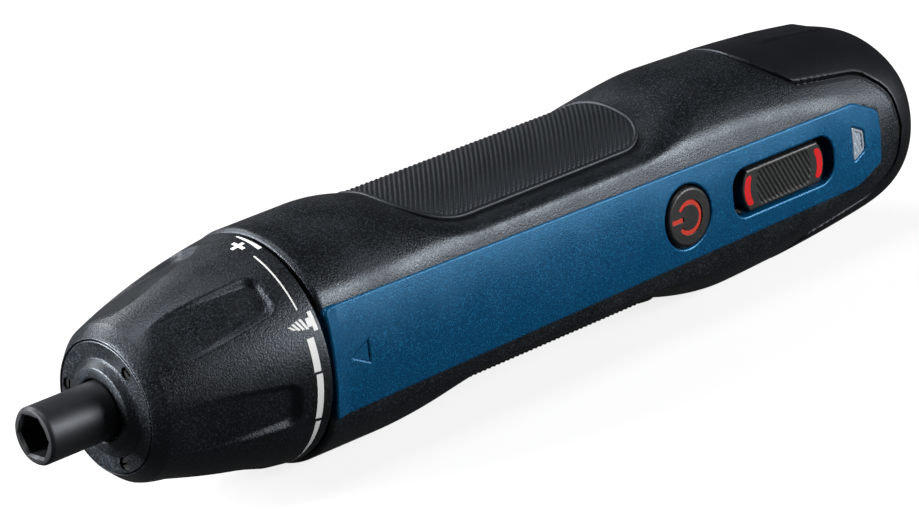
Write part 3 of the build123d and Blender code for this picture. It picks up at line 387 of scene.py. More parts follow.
def shell(side):
    """One shell's outside over x and angle; side is 1 above the parting line and -1 below it.
    It starts at a lip turned in behind the front rim, and leaves a window open under the panel."""
    turn = np.linspace(0, math.pi / 2, 9)
    rim_x, rim_low = front_x + rim_length * (1 - np.cos(turn)), rim_fall * (np.sin(turn) - 1)
    body_x = np.arange(front_x + rim_length + shell_step, shell_end_x, shell_step)
    x = np.concatenate([[front_x + lip_back], rim_x, body_x])
    edge = np.concatenate([[-lip_fall], rim_low, np.zeros(len(body_x))])
    angle = np.radians(np.concatenate([
        np.arange(28, 62, 0.6), np.arange(62, 118, 1.3), np.arange(118, 152, 0.8),
        np.arange(152, 179, 1.5), [179.4, 179.8, 179.95]]))
    window_edge = window_half * smooth_step(-x, -window_end_x, -window_fade_x)
    under_panel = window_edge[:, None] + (angle[0] - window_edge)[:, None] * np.linspace(0, 0.97, 20)
    angle = np.hstack([under_panel, np.repeat(angle[None, :], len(x), 0)])
    part_line = -part_groove * smooth_step(np.degrees(angle), 179.2, 179.95)
    radius = housing_radius(x[:, None], angle, side) + edge[:, None] + part_line
    if side < 0:
        radius = np.minimum(radius, rest_depth / np.maximum(np.sin(angle), 0.2))
    points = polar(x[:, None], angle, radius)
    points[..., 2] *= side
    return grid(domed(points), turn_over=side < 0)


for name, side in (("upper_shell", 1), ("lower_shell", -1)):
    piece(name, [shell(side)], abs_black, "housing",
          [name.replace("shell", "housing")], crease=60, wall_mm=shell_wall)

# Grip pads: knurled thermoplastic rubber, moulded into the scoops above and below.
# A plain bead runs round the edge, and inside it close ribs run slantwise, each cut into a row of beads.

rib_step, rib_slope, rib_rise = 1.11, 0.87, 0.17
bead_step, bead_cut = 0.58, 0.45
rim_bead_width, rim_bead_rise = 0.8, 0.3
knurl_overlap, knurl_fade = 0.1, 0.8
pad_sunk, pad_skirt, pad_spacing = 0.25, 2.0, 0.15


def pad_top(x, angle):
    """The pad's top: a drum with a bead along its outline and beaded ribs, cosines both ways, inside."""
    distance, _ = pad_distance(x, angle)
    s = pad_crest * (angle - math.pi / 2)
    rib = 0.5 + 0.5 * np.cos(2 * math.pi * (x - rib_slope * s) / rib_step)
    bead = 1 - bead_cut * (0.5 + 0.5 * np.cos(2 * math.pi * s / bead_step))
    inner = smooth_step(-distance, rim_bead_width - knurl_overlap, rim_bead_width + knurl_fade)
    rim = np.sqrt(np.clip(1 - (-2 * distance / rim_bead_width - 1) ** 2, 0, 1))
    return pad_crest - pad_sunk + rib_rise * inner * rib * bead + rim_bead_rise * rim * (1 - inner)


def pad(side):
    """One pad as a grid over its length and its arc, narrowed at both ends to the rounded outline."""
    ends = 0.16 * np.linspace(0, 1, 12) ** 2
    between = np.arange(pad_front_x + 0.3, pad_rear_x - 0.2, pad_spacing)
    x = np.concatenate([pad_front_x + ends, between, pad_rear_x - ends[::-1]])
    ahead = x < pad_middle_x
    to_end = np.where(ahead, pad_front_corner - (x - pad_front_x), pad_rear_corner - (pad_rear_x - x))
    corner = np.where(ahead, pad_front_corner, pad_rear_corner)
    half = pad_half_arc - corner + np.sqrt(np.maximum(corner ** 2 - np.maximum(to_end, 0) ** 2, 0))
    across = np.linspace(-1, 1, 191)
    angle = math.pi / 2 + half[:, None] * across[None, :] / pad_crest
    x = np.repeat(x[:, None], len(across), 1)
    x, angle = np.pad(x, 1, mode="edge"), np.pad(angle, 1, mode="edge")
    radius = pad_top(x, angle)
    radius[[0, -1]] = pad_crest - pad_skirt
    radius[:, [0, -1]] = pad_crest - pad_skirt
    points = polar(x, angle, radius)
    points[..., 2] *= side
    return grid(points, turn_over=side < 0)


# Thermoplastic rubber is black and matt, and the light lies softly along each rib.
# Its skin, finer than a tenth of a millimetre, is drawn at 0.2 mm so that it shows.
grip_rubber = grained("thermoplastic rubber", "#0a0d10", 0.5, 0.2, 0.008, spread=0.06, **cool_gloss)
for name, side in (("upper_grip_pad", 1), ("lower_grip_pad", -1)):
    piece(name, [pad(side)], grip_rubber, "housing", [name.replace("_pad", "")], crease=50)

# Tail cover: a soft cap pressed over both shells, smoother than they are.
# Its edge follows the seam line, with a tongue above and below; the charging port is let into its end.

cover_lip, cover_proud, cover_full, cover_hem = 0.03, 0.12, 1.5, 1.0
groove_from, groove_to, groove_wall, groove_depth = 0.42, 1.14, 0.25, 1.0
end_ring = 14.8
land_x, land_z, land_fall, land_half, land_end_x = 165.0, 20.0, 0.12, 3.5, 183.2
land_lead, land_edge, land_step, land_floor = 6.0, 0.25, 0.9, 10.0
seam_top, seam_spacing = 20.0, 0.28
port_place, port_size, port_corner = (-9.1, 0), (6.4, 11.0), 1.0


def end_profile(count):
    """The tail's outline as (x, radius): the body's arc times a superellipse that closes it at the end."""
    turn = np.linspace(0, math.pi / 2, count)
    x = end_start_x + (tail_x - end_start_x) * np.sin(turn) ** (2 / end_power)
    return x, flank(np.minimum(x, tail_x)) * np.cos(turn) ** (2 / end_power)


lead_x = np.linspace(150, end_start_x, 120)[:-1]
curl_x, curl_radius = end_profile(400)
tail_profile_x = np.concatenate([lead_x, curl_x])
tail_profile_radius = np.concatenate([round_radius(lead_x), curl_radius])
tail_run = np.concatenate([[0], np.cumsum(np.hypot(np.diff(tail_profile_x), np.diff(tail_profile_radius)))])


def seam_columns():
    """The seam's points all the way round, as (x, angle): one quarter from the side view, then mirrored."""
    line = seam_line[seam_line[:, 1] < seam_top]
    steps = np.concatenate([[0], np.cumsum(np.hypot(*np.diff(line, axis=0).T))])
    even = np.arange(0, steps[-1], seam_spacing)
    x, z = np.interp(even, steps, line[:, 0]), np.interp(even, steps, line[:, 1])
    radius = round_radius(x)
    flat = np.sqrt(np.maximum(radius ** 2 - z ** 2, 0))
    bowed = -drum_y + np.sqrt(panel_radius ** 2 - z ** 2)
    front = np.arctan2(z, np.minimum(flat, bowed))
    back = math.pi - np.arcsin(np.clip(z / radius, -1, 1))
    top = np.linspace(front[-1], back[-1], 28)[1:-1]
    upper_angle = np.concatenate([front, top, back[::-1]])
    upper_x = np.concatenate([x, np.full(len(top), x[-1]), x[::-1]])
    return (np.concatenate([upper_x, upper_x[-2:0:-1]]),
            np.concatenate([upper_angle, 2 * math.pi - upper_angle[-2:0:-1]]))


def cover_radius(x, angle, round_r):
    """The cover's outside: the body's round, bowed at the panel, with a shadow groove along its seam."""
    radius = soft_min(round_r - crest(angle), drum_reach(angle), bow_blend)
    distance = seam_distance(x, radius * np.sin(angle))
    groove = smooth_step(distance, groove_from, groove_from + groove_wall)
    groove = groove - smooth_step(distance, groove_to - groove_wall, groove_to)
    behind = smooth_step(distance, groove_to - 0.1, cover_full)
    return radius + cover_lip - groove_depth * groove + (cover_proud - cover_lip) * behind


def with_land(points):
    """The tongue's points lifted to a narrow land: a plane falling gently to the tail, with a step there."""
    x, y, z = points[..., 0], points[..., 1], points[..., 2]
    land = land_z - land_fall * (x - land_x)
    inside = smooth_step(land_half - np.abs(y), -land_edge, land_edge)
    inside = inside * smooth_step(land_end_x - x, -land_step, land_step)
    inside = inside * smooth_step(x, land_x, land_x + land_lead)
    lift = np.maximum(land - z, 0) * inside * (z > land_floor)
    return points + lift[..., None] * (0, 0, 1)


def cover_sides():
    """The cover from its seam to a ring on its end, along the body's outline at each angle."""
    seam_x, angle = seam_columns()
    ring_run = np.interp(-end_ring, -tail_profile_radius, tail_run)
    share = np.concatenate([[0, 0], np.linspace(0, 1, 90)[1:] ** 1.35])
    run = np.interp(seam_x, tail_profile_x, tail_run)
    run = run[None, :] + share[:, None] * (ring_run - run)[None, :]
    x = np.interp(run, tail_run, tail_profile_x)
    radius = cover_radius(x, angle[None, :], np.interp(run, tail_run, tail_profile_radius))
    radius[0] -= cover_hem
    rise = np.sin(angle)
    radius = np.where(radius * rise < -rest_depth, rest_depth / np.maximum(-rise, 0.2), radius)
    radius[-1] = end_ring
    x[-1] = np.interp(ring_run, tail_run, tail_profile_x)
    return with_land(domed(polar(x, angle[None, :], radius))), angle


def inside_loop(points, loop):
    """Which points lie inside a closed loop: an odd number of edges crossed to one side."""
    x, y = points[:, 0][:, None], points[:, 1][:, None]
    a, b = loop, np.roll(loop, -1, 0)
    level = (a[:, 1] > y) != (b[:, 1] > y)
    rise = np.where(b[:, 1] == a[:, 1], 1e-9, b[:, 1] - a[:, 1])
    return (level & (x < a[:, 0] + (y - a[:, 1]) * (b[:, 0] - a[:, 0]) / rise)).sum(1) % 2 == 1


def moved_in(loop, distance):
    """A counter-clockwise loop moved to its left by a distance, along the mean of its edges' normals."""
    ahead = np.roll(loop, -1, 0) - loop
    ahead /= np.linalg.norm(ahead, axis=1)[:, None]
    behind = np.roll(ahead, 1, 0)
    normal = np.stack([-(ahead + behind)[:, 1], (ahead + behind)[:, 0]], -1)
    scale = np.maximum((normal * np.stack([-ahead[:, 1], ahead[:, 0]], -1)).sum(1), 0.3)
    return loop + normal * (distance / scale)[:, None]


def even_loop(corners, spacing):
    """A closed polyline with points at an even spacing, its corners kept to within that spacing."""
    closed = np.vstack([corners, corners[:1]])
    steps = np.concatenate([[0], np.cumsum(np.linalg.norm(np.diff(closed, axis=0), axis=1))])
    run = np.linspace(0, steps[-1], int(steps[-1] / spacing) + 1)[:-1]
    return np.stack([np.interp(run, steps, closed[:, 0]), np.interp(run, steps, closed[:, 1])], -1)


def plate(outline, holes, rim, spacing, onto, hole_rim=None, mirrored=False):
    """A plate with holes: a rim profile of (inset, height) carried round each loop, and a filled middle.
    onto turns plan points and heights into places. The outline runs counter-clockwise, holes clockwise."""
    parts = []
    inner = []
    for loop, profile in [(outline, rim)] + [(hole, hole_rim or rim) for hole in holes]:
        lines = [moved_in(loop, inset) for inset, _ in profile]
        rows = np.stack([onto(line, np.full(len(line), height))
                         for line, (_, height) in zip(lines, profile)])
        if len(profile) > 1:
            parts.append(grid(rows, turn_over=not mirrored, closed=True))
        inner.append(lines[-1])
    low, high = outline.min(0), outline.max(0)
    across = np.meshgrid(np.arange(low[0], high[0], spacing), np.arange(low[1], high[1], spacing))
    across = np.stack(across, -1).reshape(-1, 2)
    clear = spacing * 0.6
    keep = inside_loop(across, moved_in(inner[0], clear))
    for hole in inner[1:]:
        keep &= ~inside_loop(across, moved_in(hole, clear)[::-1])
    flat = np.concatenate(inner + [across[keep]])
    starts = np.cumsum([0] + [len(line) for line in inner[:-1]])
    edges = [(s + i, s + (i + 1) % len(line)) for s, line in zip(starts, inner) for i in range(len(line))]
    made = geometry.delaunay_2d_cdt([Vector(p) for p in flat], edges, [], 1, 1e-5)
    spots, triangles = np.array([tuple(v) for v in made[0]]), np.array(made[2])
    middle = spots[triangles].mean(1)
    solid = inside_loop(middle, inner[0])
    for hole in inner[1:]:
        solid &= ~inside_loop(middle, hole)
    triangles = triangles[solid][:, ::-1] if mirrored else triangles[solid]
    parts.append((onto(spots, np.full(len(spots), rim[-1][1])), triangles))
    return parts


def rounded_rectangle(middle, size, corner, steps=6):
    """A clockwise rectangle with round corners."""
    quarter = np.linspace(0, math.pi / 2, steps)
    half = np.array(size) / 2 - corner
    arcs = []
    for k, (sx, sy) in enumerate(((1, 1), (-1, 1), (-1, -1), (1, -1))):
        turn = quarter + k * math.pi / 2
        arc = corner * np.stack([np.cos(turn), np.sin(turn)], -1)
        arcs.append(np.array(middle) + half * (sx, sy) + arc)
    return np.concatenate(arcs)[::-1]


def on_tail_end(spots, heights):
    """Plan points (y, z) set on the tail's end, heights counted outwards."""
    radius = np.hypot(spots[:, 0], spots[:, 1])
    x = np.interp(-radius, -tail_profile_radius, tail_profile_x)
    return domed(np.stack([x + heights, spots[:, 0], spots[:, 1]], -1))


sides, columns = cover_sides()
ring = np.stack([-end_ring * np.cos(columns), end_ring * np.sin(columns)], -1)[::-1]
port = even_loop(rounded_rectangle(port_place, port_size, port_corner), 0.5)
port_rim = [(0.0, -3.3), (0.0, -0.5), (0.1, -0.15), (0.4, 0.0)]
cover_end = plate(ring, [port], [(0.0, 0.0)], 1.2, on_tail_end, port_rim)
# Soft-touch rubber is darker and smoother than the shells, with one wide and weak highlight.
soft_black = grained("smooth soft-touch rubber", "#06080b", 0.48, 0.35, 0.02, spread=0.06,
                     **{"Specular IOR Level": 0.27}, **cool_gloss)
piece("tail_cap", [grid(sides, closed=True)] + cover_end, soft_black, "housing",
      ["tail_cover"], crease=45)
dress("usb_socket", steel)

# Control panel: a long satin plate moulded in blue ABS, clipped into the shells' side.
# It follows the shells' bowed face, climbs a little behind the collar, and has a bevelled edge.
# A triangle sunk into it points at the collar's scale.

panel_ramp, ramp_start, ramp_rise, ramp_blend = 3.8, 0.4, 0.75, 0.5
panel_front_x, panel_corner, panel_proud, rim_proud = 46.2, 1.2, 0.18, 0.05
button_x, button_well = 129.6, 5.75
slot_x, slot_size, slot_corner = 154.4, (26.4, 8.9), 3.4
lens_x, lens_length, lens_corner = 172.9, 3.1, 0.7
index_tip_x, index_base_x, index_half, index_depth = 50.9, 54.4, 1.8, 0.22


def panel_surface(spots, heights):
    """Plan points (x, z) on the panel's face: the lesser of the bowed drum, with its ramp, and the rim."""
    x, z = spots[:, 0], spots[:, 1]
    climb = np.clip(1 - (x - front_x - ramp_start) / (panel_ramp - ramp_start), 0, 1)
    drum = panel_radius + ramp_rise * smooth_step(climb, 0, 1)
    bowed = -drum_y + np.sqrt(drum ** 2 - z ** 2)
    rim = np.sqrt((front_radius + rim_proud) ** 2 - z ** 2)
    reach = np.where(climb > 0, soft_min(bowed, rim, ramp_blend), bowed)
    return np.stack([x, -(reach + heights), z], -1)


def circle(middle, radius, count):
    """A clockwise circle."""
    turn = -2 * math.pi * np.arange(count) / count
    return np.array(middle) + radius * np.stack([np.cos(turn), np.sin(turn)], -1)


panel_corners = rounded([(panel_front_x, 0), (panel_front_x, -panel_front_half),
                         (panel_shoulder_x, -panel_rear_half), (panel_rear_x, -panel_end_half),
                         (panel_rear_x, 0)], panel_corner)
panel_outline = even_loop(np.vstack([panel_corners, (panel_corners * (1, -1))[-2:0:-1]]), 0.7)
lens_edge = rounded([(lens_x, 0.4), (lens_x, -2.8), (lens_x + lens_length, -1.25),
                     (lens_x + lens_length, 2.4), (lens_x, 3.9), (lens_x, 0.4)], lens_corner)[:-1]
lens_outline = even_loop(lens_edge[::-1], 0.25)
index_corners = np.array([(index_tip_x, 0), (index_base_x, index_half), (index_base_x, -index_half)])
index_outline = even_loop(index_corners, 0.3)
slot_outline = even_loop(rounded_rectangle((slot_x, 0), slot_size, slot_corner, 16), 0.4)
panel_holes = [circle((button_x, 0), button_well, 72), slot_outline, lens_outline, index_outline]
panel_rim = [(0.0, -2.4), (0.0, -0.35), (0.06, -0.12), (0.2, panel_proud - 0.1), (0.5, panel_proud)]
hole_rim = [(0.0, -2.9), (0.0, -0.2), (0.05, 0.0), (0.16, panel_proud - 0.06), (0.4, panel_proud)]
# Blue ABS with pearl pigment is satin, and its highlights keep the pigment's blue.
# The pearl flakes are far finer in the real plastic and are drawn at 0.26 mm so that they show.
# The lighter blue flecks on the grain's peaks are partly the pearl flakes' colour and partly painted glints.
panel_blue = grained("pearl blue ABS", "#003759", 0.37, 0.26, 0.03, spread=0.12, fleck="#0c6d9c",
                     **{"Specular IOR Level": 0.85, "Specular Tint": colour("#70c4fc")})
index_floor = panel_surface(index_corners[::-1], np.full(3, panel_proud - index_depth))
panel_parts = plate(panel_outline, panel_holes, panel_rim, 1.3, panel_surface, hole_rim)
panel_parts.append((index_floor, np.array([[0, 1, 2]])))
piece("panel_plate", panel_parts, panel_blue, "housing", ["control_panel"], crease=50)

# Power button: a black ABS cap in a round well, its edge rolled.
# The standby sign is a red light guide, a broken ring and a bar, that lies a little below the cap's face.

button_face, button_radius, button_roll = 18.7, 5.35, 0.6
flange_radius, flange_foot, flange_top = 6.2, 15.3, 15.5
sign_radius, sign_stroke, sign_sunk = 3.15, 0.9, 0.22
sign_gap, bar_near, bar_far = math.radians(36), 1.5, 4.35


def lathe_on_panel(middle_x, profile, count=96):
    """A profile of (radius, reach from the axis plane) turned about a line square to the panel."""
    turn = 2 * math.pi * np.arange(count) / count
    radius, reach = np.array(profile).T
    x = middle_x + radius[:, None] * np.cos(turn)
    z = radius[:, None] * np.sin(turn)
    return np.stack([x, np.broadcast_to(-reach[:, None], x.shape), z], -1)


roll = np.linspace(0, math.pi / 2, 8)
button_profile = [(flange_radius, flange_foot), (flange_radius, flange_top), (button_radius, flange_top)]
button_profile += [(button_radius - button_roll * (1 - math.cos(t)),
                    button_face - button_roll * (1 - math.sin(t))) for t in roll]


def on_button(spots, heights):
    """Plan points (x, z) about the button's middle set on its face, heights counted outwards."""
    return np.stack([button_x + spots[:, 0], -(button_face + heights), spots[:, 1]], -1)


sign_turn = np.linspace(sign_gap, 2 * math.pi - sign_gap, 60)
sign_arc = np.stack([-np.cos(sign_turn), np.sin(sign_turn)], -1)
sign_ring = np.vstack([sign_radius * sign_arc, (sign_radius - sign_stroke) * sign_arc[::-1]])
sign_bar = np.array([(-bar_far, -sign_stroke / 2), (-bar_far, sign_stroke / 2),
                     (-bar_near, sign_stroke / 2), (-bar_near, -sign_stroke / 2)])
sign_loops = [even_loop(sign_ring, 0.2), even_loop(sign_bar, 0.2)]
sign_rim = [(0.0, -0.4), (0.0, -0.03), (0.04, 0.0)]
face_edge = circle((0, 0), button_radius - button_roll, 96)[::-1]
button_parts = plate(face_edge, sign_loops, [(0.0, 0.0)], 0.6, on_button, sign_rim)
button_parts.append(grid(lathe_on_panel(button_x, button_profile), turn_over=True, closed=True))
# Black ABS from a finer mould than the shells: it looks smoother and a little greyer.
control_black = grained("fine-grained black ABS", "#0d0e10", 0.45, 0.3, 0.04, spread=0.08)
piece("button_cap", button_parts, control_black, "button", ["power_button"], crease=40)
# A light guide that is off shows only the plain red of its plastic.
light_guide = grained("unlit red light guide", "#b8301f", 0.4, 0.6, 0.004, spread=0.04)
sign_parts = [part for loop in sign_loops
              for part in plate(loop[::-1], [], [(0.0, -sign_sunk)], 0.3, on_button)]
piece("power_sign", sign_parts, light_guide, "button", ["power_symbol"], wall_mm=0.15)

# Direction slider: a black ABS thumb piece with bowed ends and slanted ribs, red arcs let into both ends.
# It slides in the panel's slot on a base plate that keeps the slot closed.

slider_half, slider_half_width, slider_bow = 10.85, 3.9, 1.6
slider_foot, slider_face, slider_roll = 15.3, 18.17, 0.55
rib_pitch, rib_height, rib_slant, ribs_half = 0.9, 0.14, math.radians(60), 7.3
arc_span, arc_half, arc_inset, arc_proud = 0.7, 0.75, 1.35, 0.03
base_size, base_corner, base_reach, base_edge = (31.6, 12.4), 2.0, 15.45, 0.9


def slider_cap():
    """The cap over (along, across): its half length falls by a bow with the square of the place across."""
    u = np.linspace(-1, 1, 181)[:, None]
    v = np.linspace(-1, 1, 71)[None, :]
    reach = slider_half - slider_bow * v ** 2
    x = reach * u
    z = np.broadcast_to(slider_half_width * v, x.shape)
    edge = np.minimum(reach * (1 - np.abs(u)), slider_half_width * (1 - np.abs(v)))
    phase = (x * math.sin(rib_slant) + z * math.cos(rib_slant)) / rib_pitch
    ribs = smooth_step(np.cos(2 * math.pi * phase), -0.5, 0.5)
    middle = smooth_step(edge, 0.4, 1.3) * smooth_step(ribs_half - np.abs(x) - 0.1 * z ** 2, 0, 0.5)
    to_edge = 1 - np.clip(edge / slider_roll, 0, 1)
    rolled = slider_roll * (1 - np.sqrt(np.clip(1 - to_edge ** 2, 0, 1)))
    face = slider_face - rolled - rib_height * middle * (1 - ribs)
    x, z, face = (np.pad(value, 1, mode="edge") for value in (x, z, face))
    face[[0, -1]] = slider_foot
    face[:, [0, -1]] = slider_foot
    return np.stack([slot_x + x, -face, z], -1)


def slider_arc(end):
    """A red arc along one bowed end: a strip with round tips, its middle line an inset inside the end."""
    t = np.linspace(-1, 1, 61)
    v = arc_span * t
    to_tip = np.clip((np.abs(t) - 0.75) / 0.25, 0, 1)
    half = arc_half * np.sqrt(np.clip(1 - to_tip ** 2, 1e-4, 1))
    middle = slider_half - slider_bow * v ** 2 - arc_inset
    x = slot_x + end * (middle + half * np.linspace(-1, 1, 5)[:, None])
    z = np.broadcast_to(slider_half_width * v, x.shape)
    return grid(np.stack([x, np.full(x.shape, -(slider_face + arc_proud)), z], -1), turn_over=end < 0)


# Red polycarbonate is smooth and strongly coloured.
signal_red = grained("red polycarbonate", "#c3141a", 0.35, 0.8, 0.003, spread=0.03)
piece("slider_arcs", [slider_arc(1), slider_arc(-1)], signal_red, "slider", ["slider_marks"],
      wall_mm=0.3)
base_plan = rounded_rectangle((slot_x, 0), base_size, base_corner)
base_loop = np.stack([base_plan[:, 0], np.full(len(base_plan), -base_reach), base_plan[:, 1]], -1)
base_hub = np.repeat([[[slot_x, -base_reach, 0.0]]], len(base_plan), 1)
base = np.concatenate([base_loop[None] + (0, base_edge, 0), base_loop[None], base_hub])
piece("slider_cap", [grid(slider_cap()), grid(base, closed=True)],
      control_black, "slider", ["direction_slider"], crease=45)

# Status window: a clear polycarbonate lens over the charge light, set flush in the panel.
# It looks milky white because the light well behind it is white.
# A raised frame runs round it, and the middle is broken into small prisms that spread the light.

lens_floor = -0.25
lens_rim = [(0.04, -2.4), (0.04, -0.15), (0.1, 0.02), (0.25, 0.1), (0.5, 0.08), (0.72, lens_floor)]
prism_step, prism_height = 0.95, 0.24


def prisms(spots, heights):
    """The lens on the panel: two crossed zigzags, each of the prisms' height, added up over its floor."""
    x, z = spots[:, 0], spots[:, 1]
    one, other = ((value / prism_step) % 1.0 for value in (x + 0.45 * z, z - 0.7 * x))
    zigzag = np.abs(one - 0.5) + np.abs(other - 0.5)
    return panel_surface(spots, heights + np.where(heights == lens_floor, prism_height * zigzag, 0))


# Polycarbonate is smooth and glossy, pale from the white well behind it.
lens_clear = grained("milky polycarbonate", "#8e98a4", 0.2, 1.0, 0.002, spread=0.03, **{"Coat Weight": 0.5})
piece("status_lens", plate(lens_outline[::-1], [], lens_rim, 0.22, prisms), lens_clear, "housing",
      ["status_window"], crease=25)

# Torque collar: a flared ring moulded in satin black nylon, kept on the tool by the nose plate.
# Its nose is chamfered, and wedge-shaped finger flutes run back from it.
# Each flute has a flat floor, wide at the nose and square behind.

plate_x, collar_rear_x, collar_rear_radius = 14.6, 45.3, 19.6
shoulder_x, shoulder_radius = 16.7, 13.25
collar_side = arc_through((shoulder_x, shoulder_radius), (30.0, 17.05), (collar_rear_x, collar_rear_radius))
flute_start, flute_fade, flute_end = 16.9, 22.0, 39.3
flute_floor = arc_through((16.8, 12.95), (28.05, 15.65), (39.3, 17.55))
flute_front_half, flute_rear_half, flute_corner = 5.2, 3.5, 2.0
wall_foot, wall_head = 0.8, -0.4
flute_middle, flute_count = math.radians(47.5), 6


def fluted(x, angle, radius):
    """The collar's radius with its flutes: a flat floor in each wedge, its walls a step across the edge."""
    step = 2 * math.pi / flute_count
    off = (angle - flute_middle + step / 2) % step - step / 2
    lateral = np.abs(radius * np.sin(off))
    taper = flute_rear_half - flute_front_half
    half = flute_front_half + taper * (x - flute_start) / (flute_end - flute_start)
    dx = np.maximum(x - (flute_end - flute_corner), 0)
    ds = np.maximum(lateral - (half - flute_corner), 0)
    inside = flute_corner - np.hypot(dx, ds)
    floor = np.minimum(flute_floor(x) / np.cos(off), radius)
    cut = (radius - floor) * smooth_step(inside, wall_head, wall_foot)
    return radius - cut * smooth_step(x, flute_start, flute_fade)


def collar():
    """The collar as a closed profile turned about the axis, fluted outside."""
    outside_x = np.concatenate([[16.05, 16.4, 16.6, 16.75], np.linspace(16.95, 44.9, 95)])
    outside = collar_side(outside_x)
    outside[:4] = [12.72, 13.02, 13.15, 13.26]
    lead = [(15.7, 11.2), (14.7, 11.2), (14.6, 11.28), (14.6, 11.4), (14.66, 11.5), (15.3, 12.06)]
    tail = [(45.1, 19.53), (45.25, 19.4), (45.3, 19.2), (45.3, 17.6), (41.4, 17.6), (41.4, 15.1),
            (31.0, 15.1), (31.0, 11.6), (16.9, 11.6), (16.9, 10.8), (15.7, 10.8), (15.7, 11.2)]
    x = np.concatenate([[p[0] for p in lead], outside_x, [p[0] for p in tail]])
    radius = np.concatenate([[p[1] for p in lead], outside, [p[1] for p in tail]])
    angle = np.linspace(0, 2 * math.pi, 600, endpoint=False)
    radius = np.repeat(radius[:, None], len(angle), 1)
    first, last = len(lead), len(lead) + len(outside_x)
    radius[first:last] = fluted(outside_x[:, None], angle[None, :], radius[first:last])
    return polar(x[:, None], angle[None, :], radius)


# Moulded nylon has the shells' grain, drawn as coarse as theirs, and is a little glossier.
# It has the shells' lighter flecks too: partly speckle, partly painted glints.
collar_nylon = grained("satin black nylon", roughness=0.38, **moulded_grain, **cool_gloss)
piece("collar_ring", [grid(collar(), closed=True)], collar_nylon, "collar",
      ["torque_collar"], crease=38)

# Clutch spring: round steel wire wound between the seat that the collar moves and the fixed pressure ring.
# In the tool its turns close up as the collar raises the torque; here the coil is drawn at one length and
# tied to no moving part.

spring_low, spring_high = (1000 * np.array(corner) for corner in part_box("clutch_spring"))
spring_wire, spring_turns, spring_held = 1.5, 6, 1.0


def coil():
    """Rings of a round wire along a helix, moving on evenly as it turns, with a point closing each end."""
    share = np.linspace(0, 1, spring_turns * 40 + 1)
    turn = 2 * math.pi * spring_turns * share
    middle_x = spring_low[0] + spring_wire / 2 + share * (spring_high[0] - spring_low[0] - spring_wire)
    middle = polar(middle_x, turn, spring_high[2] - spring_wire / 2)[:, None]
    round_wire = 2 * math.pi * np.arange(14) / 14
    outwards = polar(0.0, turn, 1.0)[:, None] * np.cos(round_wire)[:, None]
    rings = middle + spring_wire / 2 * (outwards + np.sin(round_wire)[:, None] * (1, 0, 0))
    ends = np.repeat(middle[[0, -1]], len(round_wire), 1)
    return np.concatenate([ends[:1], rings, ends[1:]])


spring = piece("spring_coil", [grid(coil(), turn_over=True, closed=True)], steel, None,
               ["clutch_spring"])
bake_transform(spring)

# Torque scale: white pad printing round the collar's rear edge.
# A line that grows into a broken band shows the rising torque, with plain marks at both ends.

print_lift = 0.03
thread_pitch, thread_deg = 0.75, 25.4


def printed(x_low, x_high, from_deg, to_deg, count=40):
    """A patch of print on the collar's side: two edges that run straight from one angle to the other."""
    share = np.linspace(0, 1, count)
    angle = np.radians(from_deg + (to_deg - from_deg) * share)
    low = np.interp(share, [0, 1], x_low)
    high = np.interp(share, [0, 1], x_high)
    x = np.stack([low, (low + high) / 2, high])
    return grid(polar(x, angle[None, :], collar_side(x) + print_lift))


scale_parts = [
    printed((42.2, 42.2), (42.5, 42.5), 32.8, 68.4),
    printed((41.9, 41.9), (43.2, 43.2), 1.6, 18.2),
    printed((42.2, 42.2), (43.4, 43.4), -23.7, 0.3),
    printed((42.8, 42.4), (43.3, 43.4), -50.0, -25.5),
    printed((43.0, 42.9), (43.2, 43.2), -62.0, -50.0),
    printed((44.0, 44.3), (44.8, 44.6), 71.0, 88.0),
    printed((42.1, 42.1), (42.8, 42.8), 76.0, 84.0),
    printed((41.0, 41.0), (43.6, 43.6), 79.0, 81.0),
]
screw_marks = [
    printed((43.7, 43.7), (44.5, 44.5), 20.6, 30.2),
    printed((42.9, 42.9), (43.8, 43.8), 23.2, 27.6),
]
for k, half_deg in enumerate((2.9, 2.5, 2.0, 1.2)):
    ahead = thread_pitch * k
    screw_marks.append(printed((42.5 - ahead, 41.7 - ahead), (43.0 - ahead, 42.2 - ahead),
                               thread_deg - half_deg, thread_deg + half_deg))
# Pad-printing ink is a flat and even white.
white_ink = grained("white pad-printing ink", "#eceeed", 0.5, 0.5, 0.002)
piece("scale_print", scale_parts + screw_marks, white_ink, "collar")

# Nose plate: a fixed nylon disc that closes the collar, with a stepped boss round the bit holder.
# Three screws sit deep in small round wells.

nose_hub, nose_edge = 8.3, 11.05
well_circle, well_radius = 9.45, 1.1
well_places = [math.radians(47 + 120 * k) for k in range(3)]


def on_nose(spots, heights):
    """Plan points (y, z) set on the nose plate's face, heights counted towards the nose."""
    return np.stack([plate_x - heights, spots[:, 0], spots[:, 1]], -1)


boss_profile = [(15.6, 4.95), (15.4, 5.25), (13.35, 5.25), (13.22, 5.4), (13.2, 5.6), (13.2, 6.95),
                (13.26, 7.1), (13.4, 7.2), (14.2, 7.85), (14.45, 8.1), (14.58, nose_hub)]
boss_angle = np.linspace(0, 2 * math.pi, 144, endpoint=False)
boss_x, boss_radius = np.array(boss_profile).T
boss = polar(boss_x[:, None], boss_angle[None, :], boss_radius[:, None])
nose_holes = [circle((0, 0), nose_hub, 144)]
nose_holes += [circle((-well_circle * math.cos(t), well_circle * math.sin(t)), well_radius, 32)
               for t in well_places]
nose_rim = [(0.0, -1.2), (0.0, -0.2), (0.06, -0.06), (0.2, 0.0)]
well_rim = [(0.0, -1.6), (0.0, -0.1), (0.05, 0.0)]
nose_face = plate(circle((0, 0), nose_edge, 144)[::-1], nose_holes, nose_rim, 0.8, on_nose, well_rim,
                  mirrored=True)
# Black oxide on steel is nearly black, with a dull sheen of metal.
screw_oxide = grained("black oxide on steel", "#0b0c0d", 0.55, 0.3, 0.006, metallic=0.5)
dress("nose_screws", screw_oxide)
piece("nose_disc", [grid(boss, closed=True)] + nose_face, collar_nylon, "housing",
      ["nose_plate"], crease=40)

